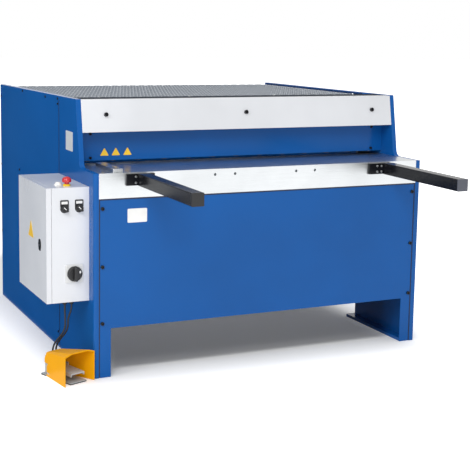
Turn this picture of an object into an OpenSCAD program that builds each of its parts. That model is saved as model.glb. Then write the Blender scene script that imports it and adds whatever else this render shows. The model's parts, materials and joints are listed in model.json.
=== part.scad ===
// Motorized guillotine shear for sheet metal, millimetres.
// X runs along the blades, the operator stands on the -Y side, Z is up.
// The origin is the middle of the four anchor holes, on the floor.

/* [Frame] */
// Clear width between the two side frames
inner_w = 1290; // [900:10:2000]
// Thickness of a side frame plate
frame_t = 18; // [12:1:30]
// Depth of a side frame, front to rear
frame_d = 415; // [400:5:600]
// Height of the table above the floor
table_h = 722; // [680:1:900]
// Height of the frame's head above the table
head_h = 240; // [225:1:320]
// Fall of the top edge from the front to the rear
top_fall = 11; // [0:1:30]
// Depth of the frame's shoulder, from the front to the knee
shoulder_d = 163; // [140:1:200]
// Backward lean of the front edge above the knee
lean_d = 42; // [20:1:60]
// Radius in the knee
knee_r = 25; // [10:1:40]
// Width of the foot flange
foot_w = 42; // [35:1:60]
// Thickness of the foot flange
foot_t = 12; // [8:1:20]
// Width of the flange that carries the front panel
lip_w = 26; // [20:1:30]
// Thickness of the flange that carries the front panel
lip_t = 8; // [5:1:12]
// Distance between the front and rear anchor holes
anchor_pitch_y = 300; // [200:10:360]
// Distance from the frame's inner face to an anchor hole
anchor_inset = 21; // [18:1:30]
// Diameter of an anchor hole
anchor_hole_d = 14; // [10:1:20]

/* [Table and blades] */
// Height of the table beam
table_beam_h = 88; // [80:1:120]
// Distance from the frame's front edge to the shear plane
shear_d = 300; // [280:1:330]
// Thickness of the table plate
table_plate_t = 28; // [20:1:40]
// Thickness of the table's front rib
table_front_rib = 30; // [20:1:50]
// Thickness of the table's rear rib
table_rear_rib = 45; // [35:1:60]
// Thickness of a blade
blade_t = 20; // [15:1:25]
// Height of a blade
blade_h = 60; // [50:1:75]
// Gap between the two blades at the shear plane
blade_gap = 0.5; // [0.1:0.1:1]
// Rise of the upper blade from its left end to its right end
blade_rake = 34; // [20:1:50]
// Opening between the blades at the left end
blade_opening = 18; // [12:1:30]
// Clearance from a blade's end to the side frame
blade_end_gap = 10; // [6:1:20]
// Diameter of a threaded hole in the table's front face
gauge_hole_d = 10; // [8:1:14]
// Depth of a threaded hole in the table's front face
gauge_hole_depth = 22; // [15:1:28]
// Distance from the table surface down to the threaded holes
gauge_hole_drop = 20; // [15:1:30]
// Distance between the two holes of a pair
gauge_hole_pitch = 79; // [60:1:100]
// Middle of the left hole pair
gauge_pair_left = -172; // [-250:1:-100]
// Middle of the right hole pair
gauge_pair_right = 156; // [100:1:250]
// Width of the side gauge
gauge_w = 36; // [25:1:50]
// Height of the side gauge
gauge_h = 13; // [8:1:20]
// Length of the side gauge
gauge_l = 190; // [120:5:230]
// Distance from the left frame to the middle of the side gauge
gauge_in = 71; // [40:1:100]
// Setback of the side gauge from the table's front
gauge_setback = 8; // [0:1:20]

/* [Ram and hold-down] */
// Thickness of the ram plate
ram_t = 30; // [20:1:40]
// Distance from the frame's top down to the ram
ram_drop = 40; // [36:1:50]
// Clearance from the ram's end to the side frame
ram_end_gap = 10; // [8:1:20]
// Depth of the stiffening flange along the ram's top
ram_flange_d = 60; // [40:1:100]
// Thickness of the stiffening flange
ram_flange_t = 20; // [12:1:30]
// Sliding clearance between the ram and its guides
guide_gap = 0.5; // [0.2:0.1:1]
// Width of a ram guide
guide_w = 50; // [40:1:60]
// Thickness of a guide's front and rear rails
guide_rail_t = 18; // [12:1:25]
// Height of the front rail that keeps the ram in its guide
guide_keeper_h = 80; // [60:1:84]
// Depth of a guide's foot below the table
guide_drop = 28; // [20:1:60]
// Thickness of the hold-down bar
hold_t = 30; // [20:1:36]
// Height of the hold-down bar
hold_h = 50; // [40:1:70]
// Lift of the hold-down feet above the table at rest
hold_lift = 8; // [7:1:12]
// Diameter of a hold-down foot
hold_foot_d = 22; // [16:1:28]
// Height of a hold-down foot
hold_foot_h = 10; // [6:1:16]
// Distance between two hold-down feet
hold_foot_pitch = 100; // [60:5:200]
// Clearance between the hold-down and the fixed pieces
hold_gap = 5; // [4:1:8]
// Diameter of a hold-down guide pin
hold_pin_d = 16; // [12:1:20]
// Reach of a hold-down guide pin inside the cross beam
hold_pin_reach = 23; // [15:1:40]
// Running clearance around a hold-down pin
pin_gap = 0.3; // [0.1:0.1:0.6]

/* [Covers] */
// Thickness of the painted sheet
sheet_t = 3; // [2:0.5:4]
// Setback of the front panel from the frame's front edge
panel_setback = 2; // [0:1:10]
// Width of a leg of the front panel
panel_leg_w = 45; // [35:1:80]
// Height of the opening under the front panel
panel_open_h = 175; // [120:1:260]
// Depth of the hem along the top of that opening
panel_hem = 20; // [10:1:40]
// Height of the front cover
cover_h = 116; // [90:1:130]
// Depth of the front cover's folded edges
cover_fold = 12; // [8:1:16]
// Width of the cross beam behind the cover, front to rear
beam_d = 80; // [70:1:84]
// Height of the cross beam behind the cover
beam_h = 90; // [70:1:100]
// Wall of the cross beams
beam_wall = 5; // [4:0.5:8]
// Distance from the frame's front edge to the cross beam
beam_y = 215; // [212:1:220]
// Distance from the frame's front edge to the finger guard
guard_y = 255; // [250:1:258]
// Gap between the table and the finger guard
guard_gap = 12; // [9:1:14]
// Distance from the frame's front edge to the perforated top
mesh_y = 330; // [320:1:400]
// Drop of the perforated top below the frame's top edge
mesh_drop = 12; // [8:1:30]
// Thickness of the perforated sheet
mesh_t = 2; // [1:0.5:3]
// Depth of the perforated top's folded edges
mesh_fold = 18; // [10:1:30]
// Number of openings across the perforated top
mesh_columns = 12; // [6:1:12]
// Number of rows of openings
mesh_rows = 10; // [4:1:12]
// Width of an opening
mesh_open_w = 78; // [30:1:80]
// Depth of an opening
mesh_open_d = 34; // [20:1:60]
// Depth of the rear guards behind the side frames
rear_d = 902; // [700:1:1100]
// Width of the rear guards' folded edges
rear_fold = 22; // [15:1:40]
// Height of the right rear guard above the floor
right_guard_lift = 80; // [60:5:150]
// Height of the rear panel's lower edge above the floor
rear_panel_h = 560; // [450:5:700]
// Thickness of the delivery chute
chute_t = 2; // [1.5:0.5:4]
// Height of the chute's lower edge above the floor
chute_low_h = 300; // [200:5:400]
// Height of the chute's side flanges
chute_flange = 25; // [15:1:40]
// Size of the square tie bars
tie_s = 40; // [30:1:60]

/* [Support arms] */
// Width and height of an arm's square tube
arm_s = 43; // [40:1:60]
// Wall of an arm's tube
arm_wall = 3; // [2:0.5:5]
// Reach of an arm in front of its bracket
arm_l = 472; // [300:1:800]
// Distance from the left frame to the middle of the left arm
arm_left_in = 158; // [110:1:300]
// Distance from the right frame to the middle of the right arm
arm_right_in = 135; // [125:1:300]
// Drop of an arm's top below the table
arm_drop = 3; // [1:1:10]
// Width of a bracket plate
bracket_w = 104; // [90:1:140]
// Thickness of a bracket plate
bracket_t = 10; // [6:1:15]
// Sideways offset of the left bracket from its arm
bracket_left_off = -10; // [-30:1:30]
// Sideways offset of the right bracket from its arm
bracket_right_off = -30; // [-30:1:30]
// Thickness of an arm's end cap
cap_t = 4; // [3:1:8]
// Depth of the cap's plug inside the tube
cap_plug = 15; // [8:1:30]

/* [Control cabinet] */
// Width of the cabinet, front to rear
cab_w = 365; // [300:5:420]
// Height of the cabinet
cab_h = 402; // [350:1:500]
// Depth of the cabinet's body, away from the frame
cab_d = 133; // [120:1:200]
// Height of the cabinet's underside above the floor
cab_z = 269; // [200:1:350]
// Setback of the cabinet from the frame's front edge
cab_setback = 53; // [20:1:80]
// Wall of the cabinet
cab_wall = 2; // [1.5:0.5:4]
// Width of the rim around the cabinet's mouth
cab_rim = 14; // [10:1:20]
// Thickness of the door tray
door_d = 18; // [14:1:25]
// Wall of the door
door_wall = 2; // [1.5:0.5:3]
// Gap between the door and the cabinet
door_gap = 1; // [0.8:0.1:2]
// Radius of a hinge knuckle
knuckle_r = 4; // [3:0.5:6]
// Length of a hinge knuckle
knuckle_l = 45; // [30:1:80]
// Distance from the door's top and bottom to a hinge
hinge_inset = 50; // [30:1:90]
// Distance from the door's front edge to its lock
lock_inset = 83; // [60:1:100]
// Height of the lock above the cabinet's underside
lock_h = 193; // [150:1:250]
// Diameter of the lock's body
lock_d = 22; // [18:1:30]
// Hold of the lock's tongue behind the cabinet's rim
lock_hold = 8; // [5:1:12]
// Thickness of the mounting plate
plate_t = 3; // [2:0.5:4]
// Distance from the cabinet's back to the mounting plate
plate_standoff = 10; // [6:1:20]
// Margin around the mounting plate
plate_margin = 25; // [15:1:40]
// Width of a contactor
contactor_w = 45; // [40:1:60]
// Height of a contactor
contactor_h = 75; // [60:1:90]
// Depth of a contactor
contactor_d = 70; // [50:1:75]
// Gap between two contactors
contactor_gap = 6; // [2:1:12]
// Length of the terminal strip
strip_l = 220; // [150:1:260]
// Height of the terminal strip
strip_h = 46; // [30:1:60]
// Depth of the terminal strip
strip_d = 40; // [30:1:55]

/* [Controls] */
// Width of a selector's legend plate
legend_w = 30; // [25:1:35]
// Height of a selector's legend plate
legend_h = 45; // [40:1:55]
// Thickness of a legend plate
legend_t = 2; // [1:0.5:3]
// Diameter of a selector's knob
knob_d = 26; // [20:1:30]
// Length of a selector's knob
knob_l = 20; // [14:1:26]
// Distance from the frame to the right selector
selector_x = 36; // [30:1:60]
// Angle of a selector at rest, to the left of upright
selector_rest = 45; // [0:5:60]
// Distance between the two selectors
selector_pitch = 52; // [45:1:60]
// Height of the selectors above the cabinet's underside
selector_z = 337; // [300:1:360]
// Side of the main switch's plate
switch_plate = 65; // [55:1:75]
// Diameter of the main switch's handle
switch_d = 53; // [45:1:60]
// Thickness of the main switch's disc
switch_t = 10; // [8:1:14]
// Height of the grip on the main switch's disc
switch_grip_h = 16; // [10:1:20]
// Width of that grip
switch_grip_w = 16; // [12:1:20]
// Distance from the frame to the main switch
switch_x = 54; // [45:1:80]
// Height of the main switch above the cabinet's underside
switch_z = 101; // [80:1:150]
// Diameter of the emergency stop's mushroom head
stop_d = 32; // [28:1:42]
// Height of the emergency stop above its collar
stop_h = 20; // [16:1:30]
// Distance from the frame to the emergency stop
stop_x = 66; // [50:1:90]
// Distance from the cabinet's front to the emergency stop
stop_y = 46; // [25:1:60]
// Diameter of the pilot lamp
lamp_d = 28; // [22:1:32]
// Distance from the emergency stop to the pilot lamp, away from the frame
lamp_dx = 22; // [10:1:40]
// Distance from the emergency stop to the pilot lamp, to the rear
lamp_dy = 30; // [28:1:60]
// Diameter of a cable gland
gland_d = 20; // [16:1:28]
// Height of a cable gland
gland_h = 18; // [12:1:26]
// Distance from the frame to the right gland
gland_x = 51; // [40:1:60]
// Distance between the two glands
gland_pitch = 24; // [22:1:40]
// Distance from the cabinet's front to the glands
gland_y = 44; // [30:1:60]

/* [Foot switch] */
// Distance from the left frame to the middle of the foot switch
pedal_out = 89; // [86:1:120]
// Position of the foot switch in front of the middle
pedal_y = -162; // [-250:1:-120]
// Angle by which the foot switch is turned
pedal_turn = 20.5; // [0:0.5:30]
// Width of the hood's mouth
hood_front_w = 128; // [110:1:150]
// Width of the hood at its rear
hood_rear_w = 57; // [56:1:100]
// Length of the hood
hood_l = 164; // [150:1:200]
// Height of the hood at its mouth
hood_h = 114; // [100:1:140]
// Height of the hood at its rear
hood_rear_h = 85; // [80:1:110]
// Wall of the hood
hood_t = 3; // [2:0.5:4]
// Height of the notch in the hood's rear
hood_notch_h = 46; // [40:1:56]
// Depth of the notch in the hood's rear
hood_notch_d = 17; // [12:1:20]
// Width of the switch housing behind the treadle
pedal_body_w = 46; // [40:1:48]
// Length of the switch housing
pedal_body_l = 46; // [40:1:56]
// Height of the switch housing
pedal_body_h = 62; // [50:1:66]
// Width of the foot switch's base
pedal_base_w = 68; // [60:1:80]
// Thickness of the foot switch's base
pedal_base_t = 6; // [4:1:10]
// Width of the treadle
treadle_w = 57; // [45:1:58]
// Length of the treadle
treadle_l = 103; // [85:1:106]
// Diameter of the treadle's hinge pin
treadle_pin_d = 8; // [6:1:10]
// Height of the treadle's hinge pin
treadle_pin_z = 38; // [30:1:42]
// Rest angle of the treadle
treadle_tilt = 2; // [0:1:5]
// Thickness of the treadle
treadle_t = 4; // [3:1:6]
// Distance between the foot switch's two cables
pedal_cable_pitch = 14; // [13.5:0.5:20]
// Diameter of the foot switch's cables
cable_d = 6.5; // [5:0.5:6.5]

/* [Hidden] */
$fn = 48;
eps = 0.01;

top_h = table_h + head_h;
half_w = inner_w / 2;
outer_w = half_w + frame_t;
front_y = -frame_d / 2;
frame_rear_y = frame_d / 2;
rear_y = frame_rear_y + rear_d;
shear_y = front_y + shear_d;
knee_y = front_y + shoulder_d;
lean_y = knee_y + lean_d;
panel_top = table_h - table_beam_h;

// Height of the frame's top edge at a distance y from the middle
function top_z(y) = top_h - top_fall * (y - lean_y) / (rear_y - lean_y);
// Distance y of the leaning front edge at a height z
function lean_at(z) = knee_y + lean_d * (z - table_h) / (top_h - table_h);
// Points of an arc about a centre
function arc(cx, cy, r, a0, a1, n = 6) =
  [for (i = [0 : n]) [cx + r * cos(a0 + (a1 - a0) * i / n), cy + r * sin(a0 + (a1 - a0) * i / n)]];

// Outline drawn as [y, z], extruded from x0 to x1
module across(x0, x1) {
  translate([x0, 0, 0]) rotate([90, 0, 90]) linear_extrude(x1 - x0) children();
}

// Box given by its two opposite corners
module box(a, b) {
  translate(a) cube(b - a);
}

// Round bar along Y, starting at the given point
module bar_y(p, d, l) {
  translate(p) rotate([-90, 0, 0]) cylinder(d = d, h = l);
}

// Round bar along X, starting at the given point
module bar_x(p, d, l) {
  translate(p) rotate([0, 90, 0]) cylinder(d = d, h = l);
}

// Rectangle with round corners
module round_rect(w, h, r) {
  union() {
    square([w - 2 * r, h], center = true);
    square([w, h - 2 * r], center = true);
    for (x = [-1, 1], y = [-1, 1])
      translate([x * (w / 2 - r), y * (h / 2 - r)]) circle(r);
  }
}

// Side frames

lean_angle = atan2(top_h - table_h, lean_d);
knee_turn = (180 - lean_angle) / 2;
knee_cy = knee_y - knee_r / tan(knee_turn);

module frame_outline() {
  polygon(concat(
    [[front_y, 0], [front_y, table_h]],
    arc(knee_cy, table_h + knee_r, knee_r, -90, lean_angle - 90),
    [[lean_y, top_h], [frame_rear_y, top_z(frame_rear_y)], [frame_rear_y, 0]]));
}

// Left side frame: plate, foot flange with anchor holes, front flange
module side_frame() {
  difference() {
    union() {
      across(-outer_w, -half_w) frame_outline();
      box([-half_w - eps, front_y + panel_setback + sheet_t, 0],
          [-half_w + foot_w, frame_rear_y, foot_t]);
      box([-half_w - eps, front_y + panel_setback + sheet_t, foot_t - eps],
          [-half_w + lip_w, front_y + panel_setback + sheet_t + lip_t, panel_top]);
    }
    for (s = [-1, 1])
      translate([-half_w + anchor_inset, s * anchor_pitch_y / 2, -1])
        cylinder(d = anchor_hole_d, h = foot_t + 2);
  }
}

module left_frame() {
  color("#2460a8") side_frame();
}

module right_frame() {
  color("#2460a8") mirror([1, 0, 0]) side_frame();
}

// Table and lower blade

module table_beam() {
  rear = shear_y;
  color("#c9ccd0") difference() {
    across(-half_w, half_w) polygon([
      [front_y, panel_top], [front_y, table_h],
      [rear - blade_t, table_h], [rear - blade_t, table_h - blade_h],
      [rear, table_h - blade_h], [rear, panel_top],
      [rear - table_rear_rib, panel_top],
      [rear - table_rear_rib, table_h - table_plate_t],
      [front_y + table_front_rib, table_h - table_plate_t],
      [front_y + table_front_rib, panel_top]]);
    for (pair = [gauge_pair_left, gauge_pair_right], s = [-1, 1])
      bar_y([pair + s * gauge_hole_pitch / 2, front_y - 1, table_h - gauge_hole_drop],
            gauge_hole_d, gauge_hole_depth + 1);
  }
}

module lower_blade() {
  color("#b4b8bc")
    box([-half_w, shear_y - blade_t, table_h - blade_h], [half_w, shear_y, table_h]);
}

module side_gauge() {
  gauge_x = -half_w + gauge_in;
  y0 = front_y + gauge_setback;
  color("#b8bcc0")
    box([gauge_x - gauge_w / 2, y0, table_h],
        [gauge_x + gauge_w / 2, y0 + gauge_l, table_h + gauge_h]);
}

// Ram, upper blade, hold-down and guides

ram_y0 = shear_y + blade_gap + blade_t;
ram_y1 = ram_y0 + ram_t;
ram_z1 = top_h - ram_drop;
blade_z0 = table_h + blade_opening;
blade_half = half_w - blade_end_gap;
ram_half = half_w - ram_end_gap;
blade_cover = 8;

// Height of the upper blade's edge at a distance x from the middle
function edge_z(x) = blade_z0 + blade_rake * (x + blade_half) / (2 * blade_half);

module upper_blade() {
  color("#b4b8bc") translate([0, shear_y + blade_gap + blade_t, 0]) rotate([90, 0, 0])
    linear_extrude(blade_t) polygon([
      [-blade_half, edge_z(-blade_half)], [blade_half, edge_z(blade_half)],
      [blade_half, edge_z(blade_half) + blade_h],
      [-blade_half, edge_z(-blade_half) + blade_h]]);
}

module ram() {
  flange_half = half_w - guide_w - hold_gap;
  color("#3a4048") union() {
    translate([0, ram_y1, 0]) rotate([90, 0, 0]) linear_extrude(ram_t) polygon([
      [-ram_half, edge_z(-ram_half) + blade_cover],
      [ram_half, edge_z(ram_half) + blade_cover],
      [ram_half, ram_z1], [-ram_half, ram_z1]]);
    box([-flange_half, ram_y1 - eps, ram_z1 - ram_flange_t],
        [flange_half, ram_y1 + ram_flange_d, ram_z1]);
  }
}

guide_z0 = table_h - guide_drop;
guide_z1 = ram_z1;

// Left ram guide: a rear rail, an end web and a front keeper above the blade
module ram_guide() {
  web_x = -half_w + (ram_end_gap - hold_gap);
  rear_y0 = ram_y1 + guide_gap;
  union() {
    box([-half_w, rear_y0, guide_z0], [-half_w + guide_w, rear_y0 + guide_rail_t, guide_z1]);
    box([-half_w, ram_y0 - guide_gap - guide_rail_t, guide_z1 - guide_keeper_h],
        [web_x, rear_y0 + eps, guide_z1]);
    box([-half_w, ram_y0 - guide_gap - guide_rail_t, guide_z1 - guide_keeper_h],
        [-half_w + guide_w, ram_y0 - guide_gap, guide_z1]);
  }
}

module left_guide() {
  color("#70767c") ram_guide();
}

module right_guide() {
  color("#70767c") mirror([1, 0, 0]) ram_guide();
}

hold_y0 = front_y + guard_y + sheet_t + hold_gap;
hold_z0 = table_h + hold_lift;
hold_z1 = hold_z0 + hold_foot_h + hold_h;
hold_half = half_w - hold_gap;
hold_pin_x = [for (k = [-1.5, -0.5, 0.5, 1.5]) k * inner_w / 4];
hold_feet = floor((hold_half - hold_foot_d) / hold_foot_pitch);

module hold_down() {
  mid = hold_y0 + hold_t / 2;
  color("#3a4048") union() {
    box([-hold_half, hold_y0, hold_z0 + hold_foot_h],
        [hold_half, hold_y0 + hold_t, hold_z1]);
    for (k = [-hold_feet : hold_feet])
      translate([k * hold_foot_pitch, mid, hold_z0])
        cylinder(d = hold_foot_d, h = hold_foot_h + eps);
    for (x = hold_pin_x)
      translate([x, mid, hold_z1 - eps])
        cylinder(d = hold_pin_d, h = beam_z0 + hold_pin_reach - hold_z1 + eps);
  }
}

// Cross beams and ties

cover_step = 2;
cover_top = top_h - cover_step;
beam_y0 = front_y + beam_y;
beam_z1 = cover_top - sheet_t;
beam_z0 = beam_z1 - beam_h;

// Rectangular tube along X between the side frames
module cross_tube(y0, z0, d, h) {
  across(-half_w, half_w) difference() {
    translate([y0, z0]) square([d, h]);
    translate([y0 + beam_wall, z0 + beam_wall])
      square([d - 2 * beam_wall, h - 2 * beam_wall]);
  }
}

module top_beam() {
  mid = hold_y0 + hold_t / 2;
  color("#2460a8") difference() {
    cross_tube(beam_y0, beam_z0, beam_d, beam_h);
    for (x = hold_pin_x)
      translate([x, mid, beam_z0 - 1])
        cylinder(d = hold_pin_d + 2 * pin_gap, h = beam_wall + 2);
  }
}

module lower_beam() {
  color("#2460a8") cross_tube(frame_rear_y - 2 * tie_s, panel_open_h + tie_s, tie_s, 2 * tie_s);
}

module rear_tie() {
  side = outer_w - sheet_t;
  color("#2460a8") across(-side, side) difference() {
    translate([rear_y - sheet_t - tie_s, chute_low_h - tie_s]) square(tie_s);
    translate([rear_y - sheet_t - tie_s + beam_wall, chute_low_h - tie_s + beam_wall])
      square(tie_s - 2 * beam_wall);
  }
}

// Covers

module front_panel() {
  y0 = front_y + panel_setback;
  leg = half_w - panel_leg_w;
  color("#2662ac") union() {
    translate([0, y0 + sheet_t, 0]) rotate([90, 0, 0]) linear_extrude(sheet_t) difference() {
      translate([-half_w, 0]) square([inner_w, panel_top]);
      translate([-leg, -1]) square([2 * leg, panel_open_h + 1]);
    }
    box([-leg, y0 + sheet_t - eps, panel_open_h], [leg, y0 + panel_hem, panel_open_h + sheet_t]);
  }
}

module front_cover() {
  z0 = cover_top - cover_h;
  y0 = lean_at(z0);
  y1 = lean_at(cover_top);
  color("#e4e6e9") across(-half_w, half_w)
    polygon([[y0, z0], [y1, cover_top], [beam_y0 + cover_fold, cover_top],
      [beam_y0 + cover_fold, cover_top - sheet_t], [y1 + sheet_t, cover_top - sheet_t],
      [y0 + sheet_t, z0 + sheet_t], [beam_y0, z0 + sheet_t], [beam_y0, z0]]);
}

module top_strip() {
  z0 = cover_top - sheet_t;
  color("#8a9096")
    box([-half_w, beam_y0 + cover_fold + 1, z0], [half_w, front_y + mesh_y - 1, z0 + mesh_t]);
}

module finger_guard() {
  z0 = table_h + guard_gap;
  color("#245ca4")
    box([-half_w, front_y + guard_y, z0],
        [half_w, front_y + guard_y + sheet_t, beam_z0]);
}

// Top over the blades, with its openings drawn larger and fewer than the real ones
module perforated_top() {
  y0 = front_y + mesh_y;
  y1 = rear_y - 2 * sheet_t;
  z0 = top_z(y0) - mesh_drop;
  z1 = top_z(y1) - mesh_drop;
  column = inner_w / mesh_columns;
  row = (y1 - y0) / mesh_rows;
  color("#b9bfc6") difference() {
    across(-half_w, half_w) polygon([
      [y0, z0], [y1, z1], [y1, z1 - mesh_fold], [y1 - mesh_t, z1 - mesh_fold],
      [y1 - mesh_t, z1 - mesh_t], [y0 + mesh_t, z0 - mesh_t],
      [y0 + mesh_t, z0 - mesh_fold], [y0, z0 - mesh_fold]]);
    for (i = [0 : mesh_columns - 1], j = [0 : mesh_rows - 1])
      translate([-half_w + (i + 0.5) * column, y0 + (j + 0.5) * row, z1 - mesh_fold])
        translate([-mesh_open_w / 2, -mesh_open_d / 2, 0])
          cube([mesh_open_w, mesh_open_d, z0 - z1 + 2 * mesh_fold]);
  }
}

// Left rear guard: a folded sheet behind the side frame
module rear_guard(lift) {
  y0 = frame_rear_y;
  union() {
    across(-outer_w, -outer_w + sheet_t)
      polygon([[y0, lift], [y0, top_z(y0)], [rear_y, top_z(rear_y)], [rear_y, lift]]);
    across(-outer_w, -outer_w + rear_fold) union() {
      polygon([[y0, top_z(y0)], [rear_y, top_z(rear_y)],
        [rear_y, top_z(rear_y) - sheet_t], [y0, top_z(y0) - sheet_t]]);
      translate([y0, lift]) square([rear_d, sheet_t]);
      translate([rear_y - sheet_t, lift])
        square([sheet_t, top_z(rear_y) - lift - eps]);
    }
  }
}

module left_rear_guard() {
  color("#1f5596") rear_guard(0);
}

module right_rear_guard() {
  color("#1f5596") mirror([1, 0, 0]) rear_guard(right_guard_lift);
}

module rear_panel() {
  side = outer_w - sheet_t;
  z1 = top_z(rear_y) - mesh_drop;
  color("#1f5596")
    box([-side, rear_y - 2 * sheet_t, rear_panel_h], [side, rear_y - sheet_t, z1]);
}

module delivery_chute() {
  y0 = shear_y + hold_gap;
  z0 = panel_top;
  y1 = rear_y - sheet_t;
  z1 = chute_low_h + chute_t;
  color("#9aa1a8") union() {
    across(-half_w, half_w)
      polygon([[y0, z0], [y1, z1], [y1, z1 - chute_t], [y0, z0 - chute_t]]);
    for (x = [-half_w, half_w - chute_t])
      across(x, x + chute_t)
        polygon([[y0, z0 - chute_t], [y0, z0 + chute_flange], [y1, z1 + chute_flange],
          [y1, z1 - chute_t]]);
  }
}

// Support arms

arm_left_x = -half_w + arm_left_in;
arm_right_x = half_w - arm_right_in;
arm_z1 = table_h - arm_drop;
arm_y0 = front_y - bracket_t - arm_l;

// Square tube of an arm, in front of its bracket
module arm(x) {
  translate([x, front_y - bracket_t, arm_z1 - arm_s / 2]) rotate([90, 0, 0])
    linear_extrude(arm_l) difference() {
      round_rect(arm_s, arm_s, arm_wall);
      square(arm_s - 2 * arm_wall, center = true);
    }
}

// End cap: a flat plate with a plug inside the tube
module arm_cap(x) {
  translate([x, arm_y0, arm_z1 - arm_s / 2]) rotate([90, 0, 0]) union() {
    linear_extrude(cap_t) round_rect(arm_s, arm_s, arm_wall);
    translate([0, 0, -cap_plug])
      linear_extrude(cap_plug + eps) square(arm_s - 2 * arm_wall, center = true);
  }
}

// Bracket plate bolted to the table's front face
module bracket(x) {
  translate([x, front_y, arm_z1 - arm_s / 2]) rotate([90, 0, 0])
    linear_extrude(bracket_t) square([bracket_w, arm_s - 2], center = true);
}

module left_arm() {
  color("#1c1e22") arm(arm_left_x);
}

module right_arm() {
  color("#1c1e22") arm(arm_right_x);
}

module left_bracket() {
  color("#17191c") bracket(arm_left_x + bracket_left_off);
}

module right_bracket() {
  color("#17191c") bracket(arm_right_x + bracket_right_off);
}

module left_arm_cap() {
  color("#202226") arm_cap(arm_left_x);
}

module right_arm_cap() {
  color("#8c9096") arm_cap(arm_right_x);
}

// Control cabinet

cab_x1 = -outer_w;
cab_x0 = cab_x1 - cab_d;
cab_y0 = front_y + cab_setback;
cab_y1 = cab_y0 + cab_w;
cab_z1 = cab_z + cab_h;
door_x1 = cab_x0 - door_gap;
door_x0 = door_x1 - door_d;
hinge_x = door_x1;
hinge_y = cab_y1 + knuckle_r + door_gap;
hinge_z = [cab_z + hinge_inset, cab_z1 - hinge_inset - knuckle_l];

module cabinet() {
  color("#e2e4e7") union() {
    difference() {
      box([cab_x0, cab_y0, cab_z], [cab_x1, cab_y1, cab_z1]);
      box([cab_x0 + cab_wall, cab_y0 + cab_wall, cab_z + cab_wall],
          [cab_x1 - cab_wall, cab_y1 - cab_wall, cab_z1 - cab_wall]);
      box([cab_x0 - 1, cab_y0 + cab_rim, cab_z + cab_rim],
          [cab_x0 + cab_wall + 1, cab_y1 - cab_rim, cab_z1 - cab_rim]);
    }
    for (z = hinge_z) {
      translate([hinge_x, hinge_y, z]) cylinder(r = knuckle_r, h = knuckle_l / 2);
      translate([hinge_x, hinge_y, z]) cylinder(r = knuckle_r / 2, h = knuckle_l);
      box([cab_x0, cab_y1 - eps, z], [cab_x0 + cab_wall, hinge_y, z + knuckle_l / 2]);
    }
  }
}

module cabinet_door() {
  color("#e6e8ea") difference() {
    union() {
      difference() {
        box([door_x0, cab_y0, cab_z], [door_x1, cab_y1, cab_z1]);
        box([door_x0 + door_wall, cab_y0 + door_wall, cab_z + door_wall],
            [door_x1 + 1, cab_y1 - door_wall, cab_z1 - door_wall]);
      }
      for (z = hinge_z)
        translate([0, 0, z + knuckle_l / 2 + door_gap]) {
          translate([hinge_x, hinge_y, 0])
            cylinder(r = knuckle_r, h = knuckle_l / 2 - door_gap);
          box([door_x1 - door_wall, cab_y1 - eps, 0],
              [door_x1, hinge_y, knuckle_l / 2 - door_gap]);
        }
    }
    for (z = hinge_z)
      translate([hinge_x, hinge_y, z + knuckle_l / 2])
        cylinder(r = knuckle_r / 2 + lock_gap, h = knuckle_l);
    bar_x([door_x0 - 1, lock_y, lock_z], lock_d - lock_step, door_wall + 2);
  }
}

lock_y = cab_y0 + lock_inset;
lock_z = cab_z + lock_h;
lock_reach = lock_inset - cab_rim + lock_hold;
lock_gap = 0.1;
lock_step = 4;
lock_head_t = 3;
tongue_w = 16;
tongue_t = 3;

// Quarter-turn lock, with its tongue hanging clear of the cabinet's rim
module door_lock() {
  tongue_x = cab_x0 + cab_wall + door_gap;
  color("#1c1d20") union() {
    bar_x([door_x0 - lock_head_t, lock_y, lock_z], lock_d, lock_head_t);
    bar_x([door_x0 - eps, lock_y, lock_z], lock_d - lock_step - 2 * lock_gap,
          tongue_x - door_x0);
    box([tongue_x - eps, lock_y - tongue_w / 2, lock_z - lock_reach],
        [tongue_x + tongue_t, lock_y + tongue_w / 2, lock_z + tongue_w / 2]);
  }
}

post_d = 12;
post_inset = plate_margin + post_d;
plate_x1 = cab_x1 - cab_wall - plate_standoff;
plate_x0 = plate_x1 - plate_t;
contactor_level = 0.55;
strip_level = 0.2;

module mounting_plate() {
  color("#c4c7c2") union() {
    box([plate_x0, cab_y0 + plate_margin, cab_z + plate_margin],
        [plate_x1, cab_y1 - plate_margin, cab_z1 - plate_margin]);
    for (y = [cab_y0 + post_inset, cab_y1 - post_inset],
         z = [cab_z + post_inset, cab_z1 - post_inset])
      bar_x([plate_x1 - eps, y, z], post_d, plate_standoff + eps);
  }
}

module contactors() {
  pitch = contactor_w + contactor_gap;
  z0 = cab_z + cab_h * contactor_level;
  color("#d8dadc") for (k = [-1 : 1])
    translate([0, cab_y0 + cab_w / 2 + k * pitch, 0])
      box([plate_x0 - contactor_d, -contactor_w / 2, z0],
          [plate_x0, contactor_w / 2, z0 + contactor_h]);
}

module terminal_strip() {
  y0 = cab_y0 + (cab_w - strip_l) / 2;
  z0 = cab_z + cab_h * strip_level;
  color("#b9bcb6")
    box([plate_x0 - strip_d, y0, z0], [plate_x0, y0 + strip_l, z0 + strip_h]);
}

// Controls on the cabinet

switch_cx = cab_x1 - switch_x;
switch_cz = cab_z + switch_z;
selector_cx = [cab_x1 - selector_x - selector_pitch, cab_x1 - selector_x];
selector_cz = cab_z + selector_z;
stop_cx = cab_x1 - stop_x;
stop_cy = cab_y0 + stop_y;
plate_rise = 4;
plate_corner = 4;
field_h = 0.6 * legend_h;
grip_inset = 6;
knob_grip_w = 9;
control_gap = 0.3;
shaft_d = 8;
shaft_gap = 0.1;
knob_drop = (legend_h - legend_w) / 2;

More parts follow.
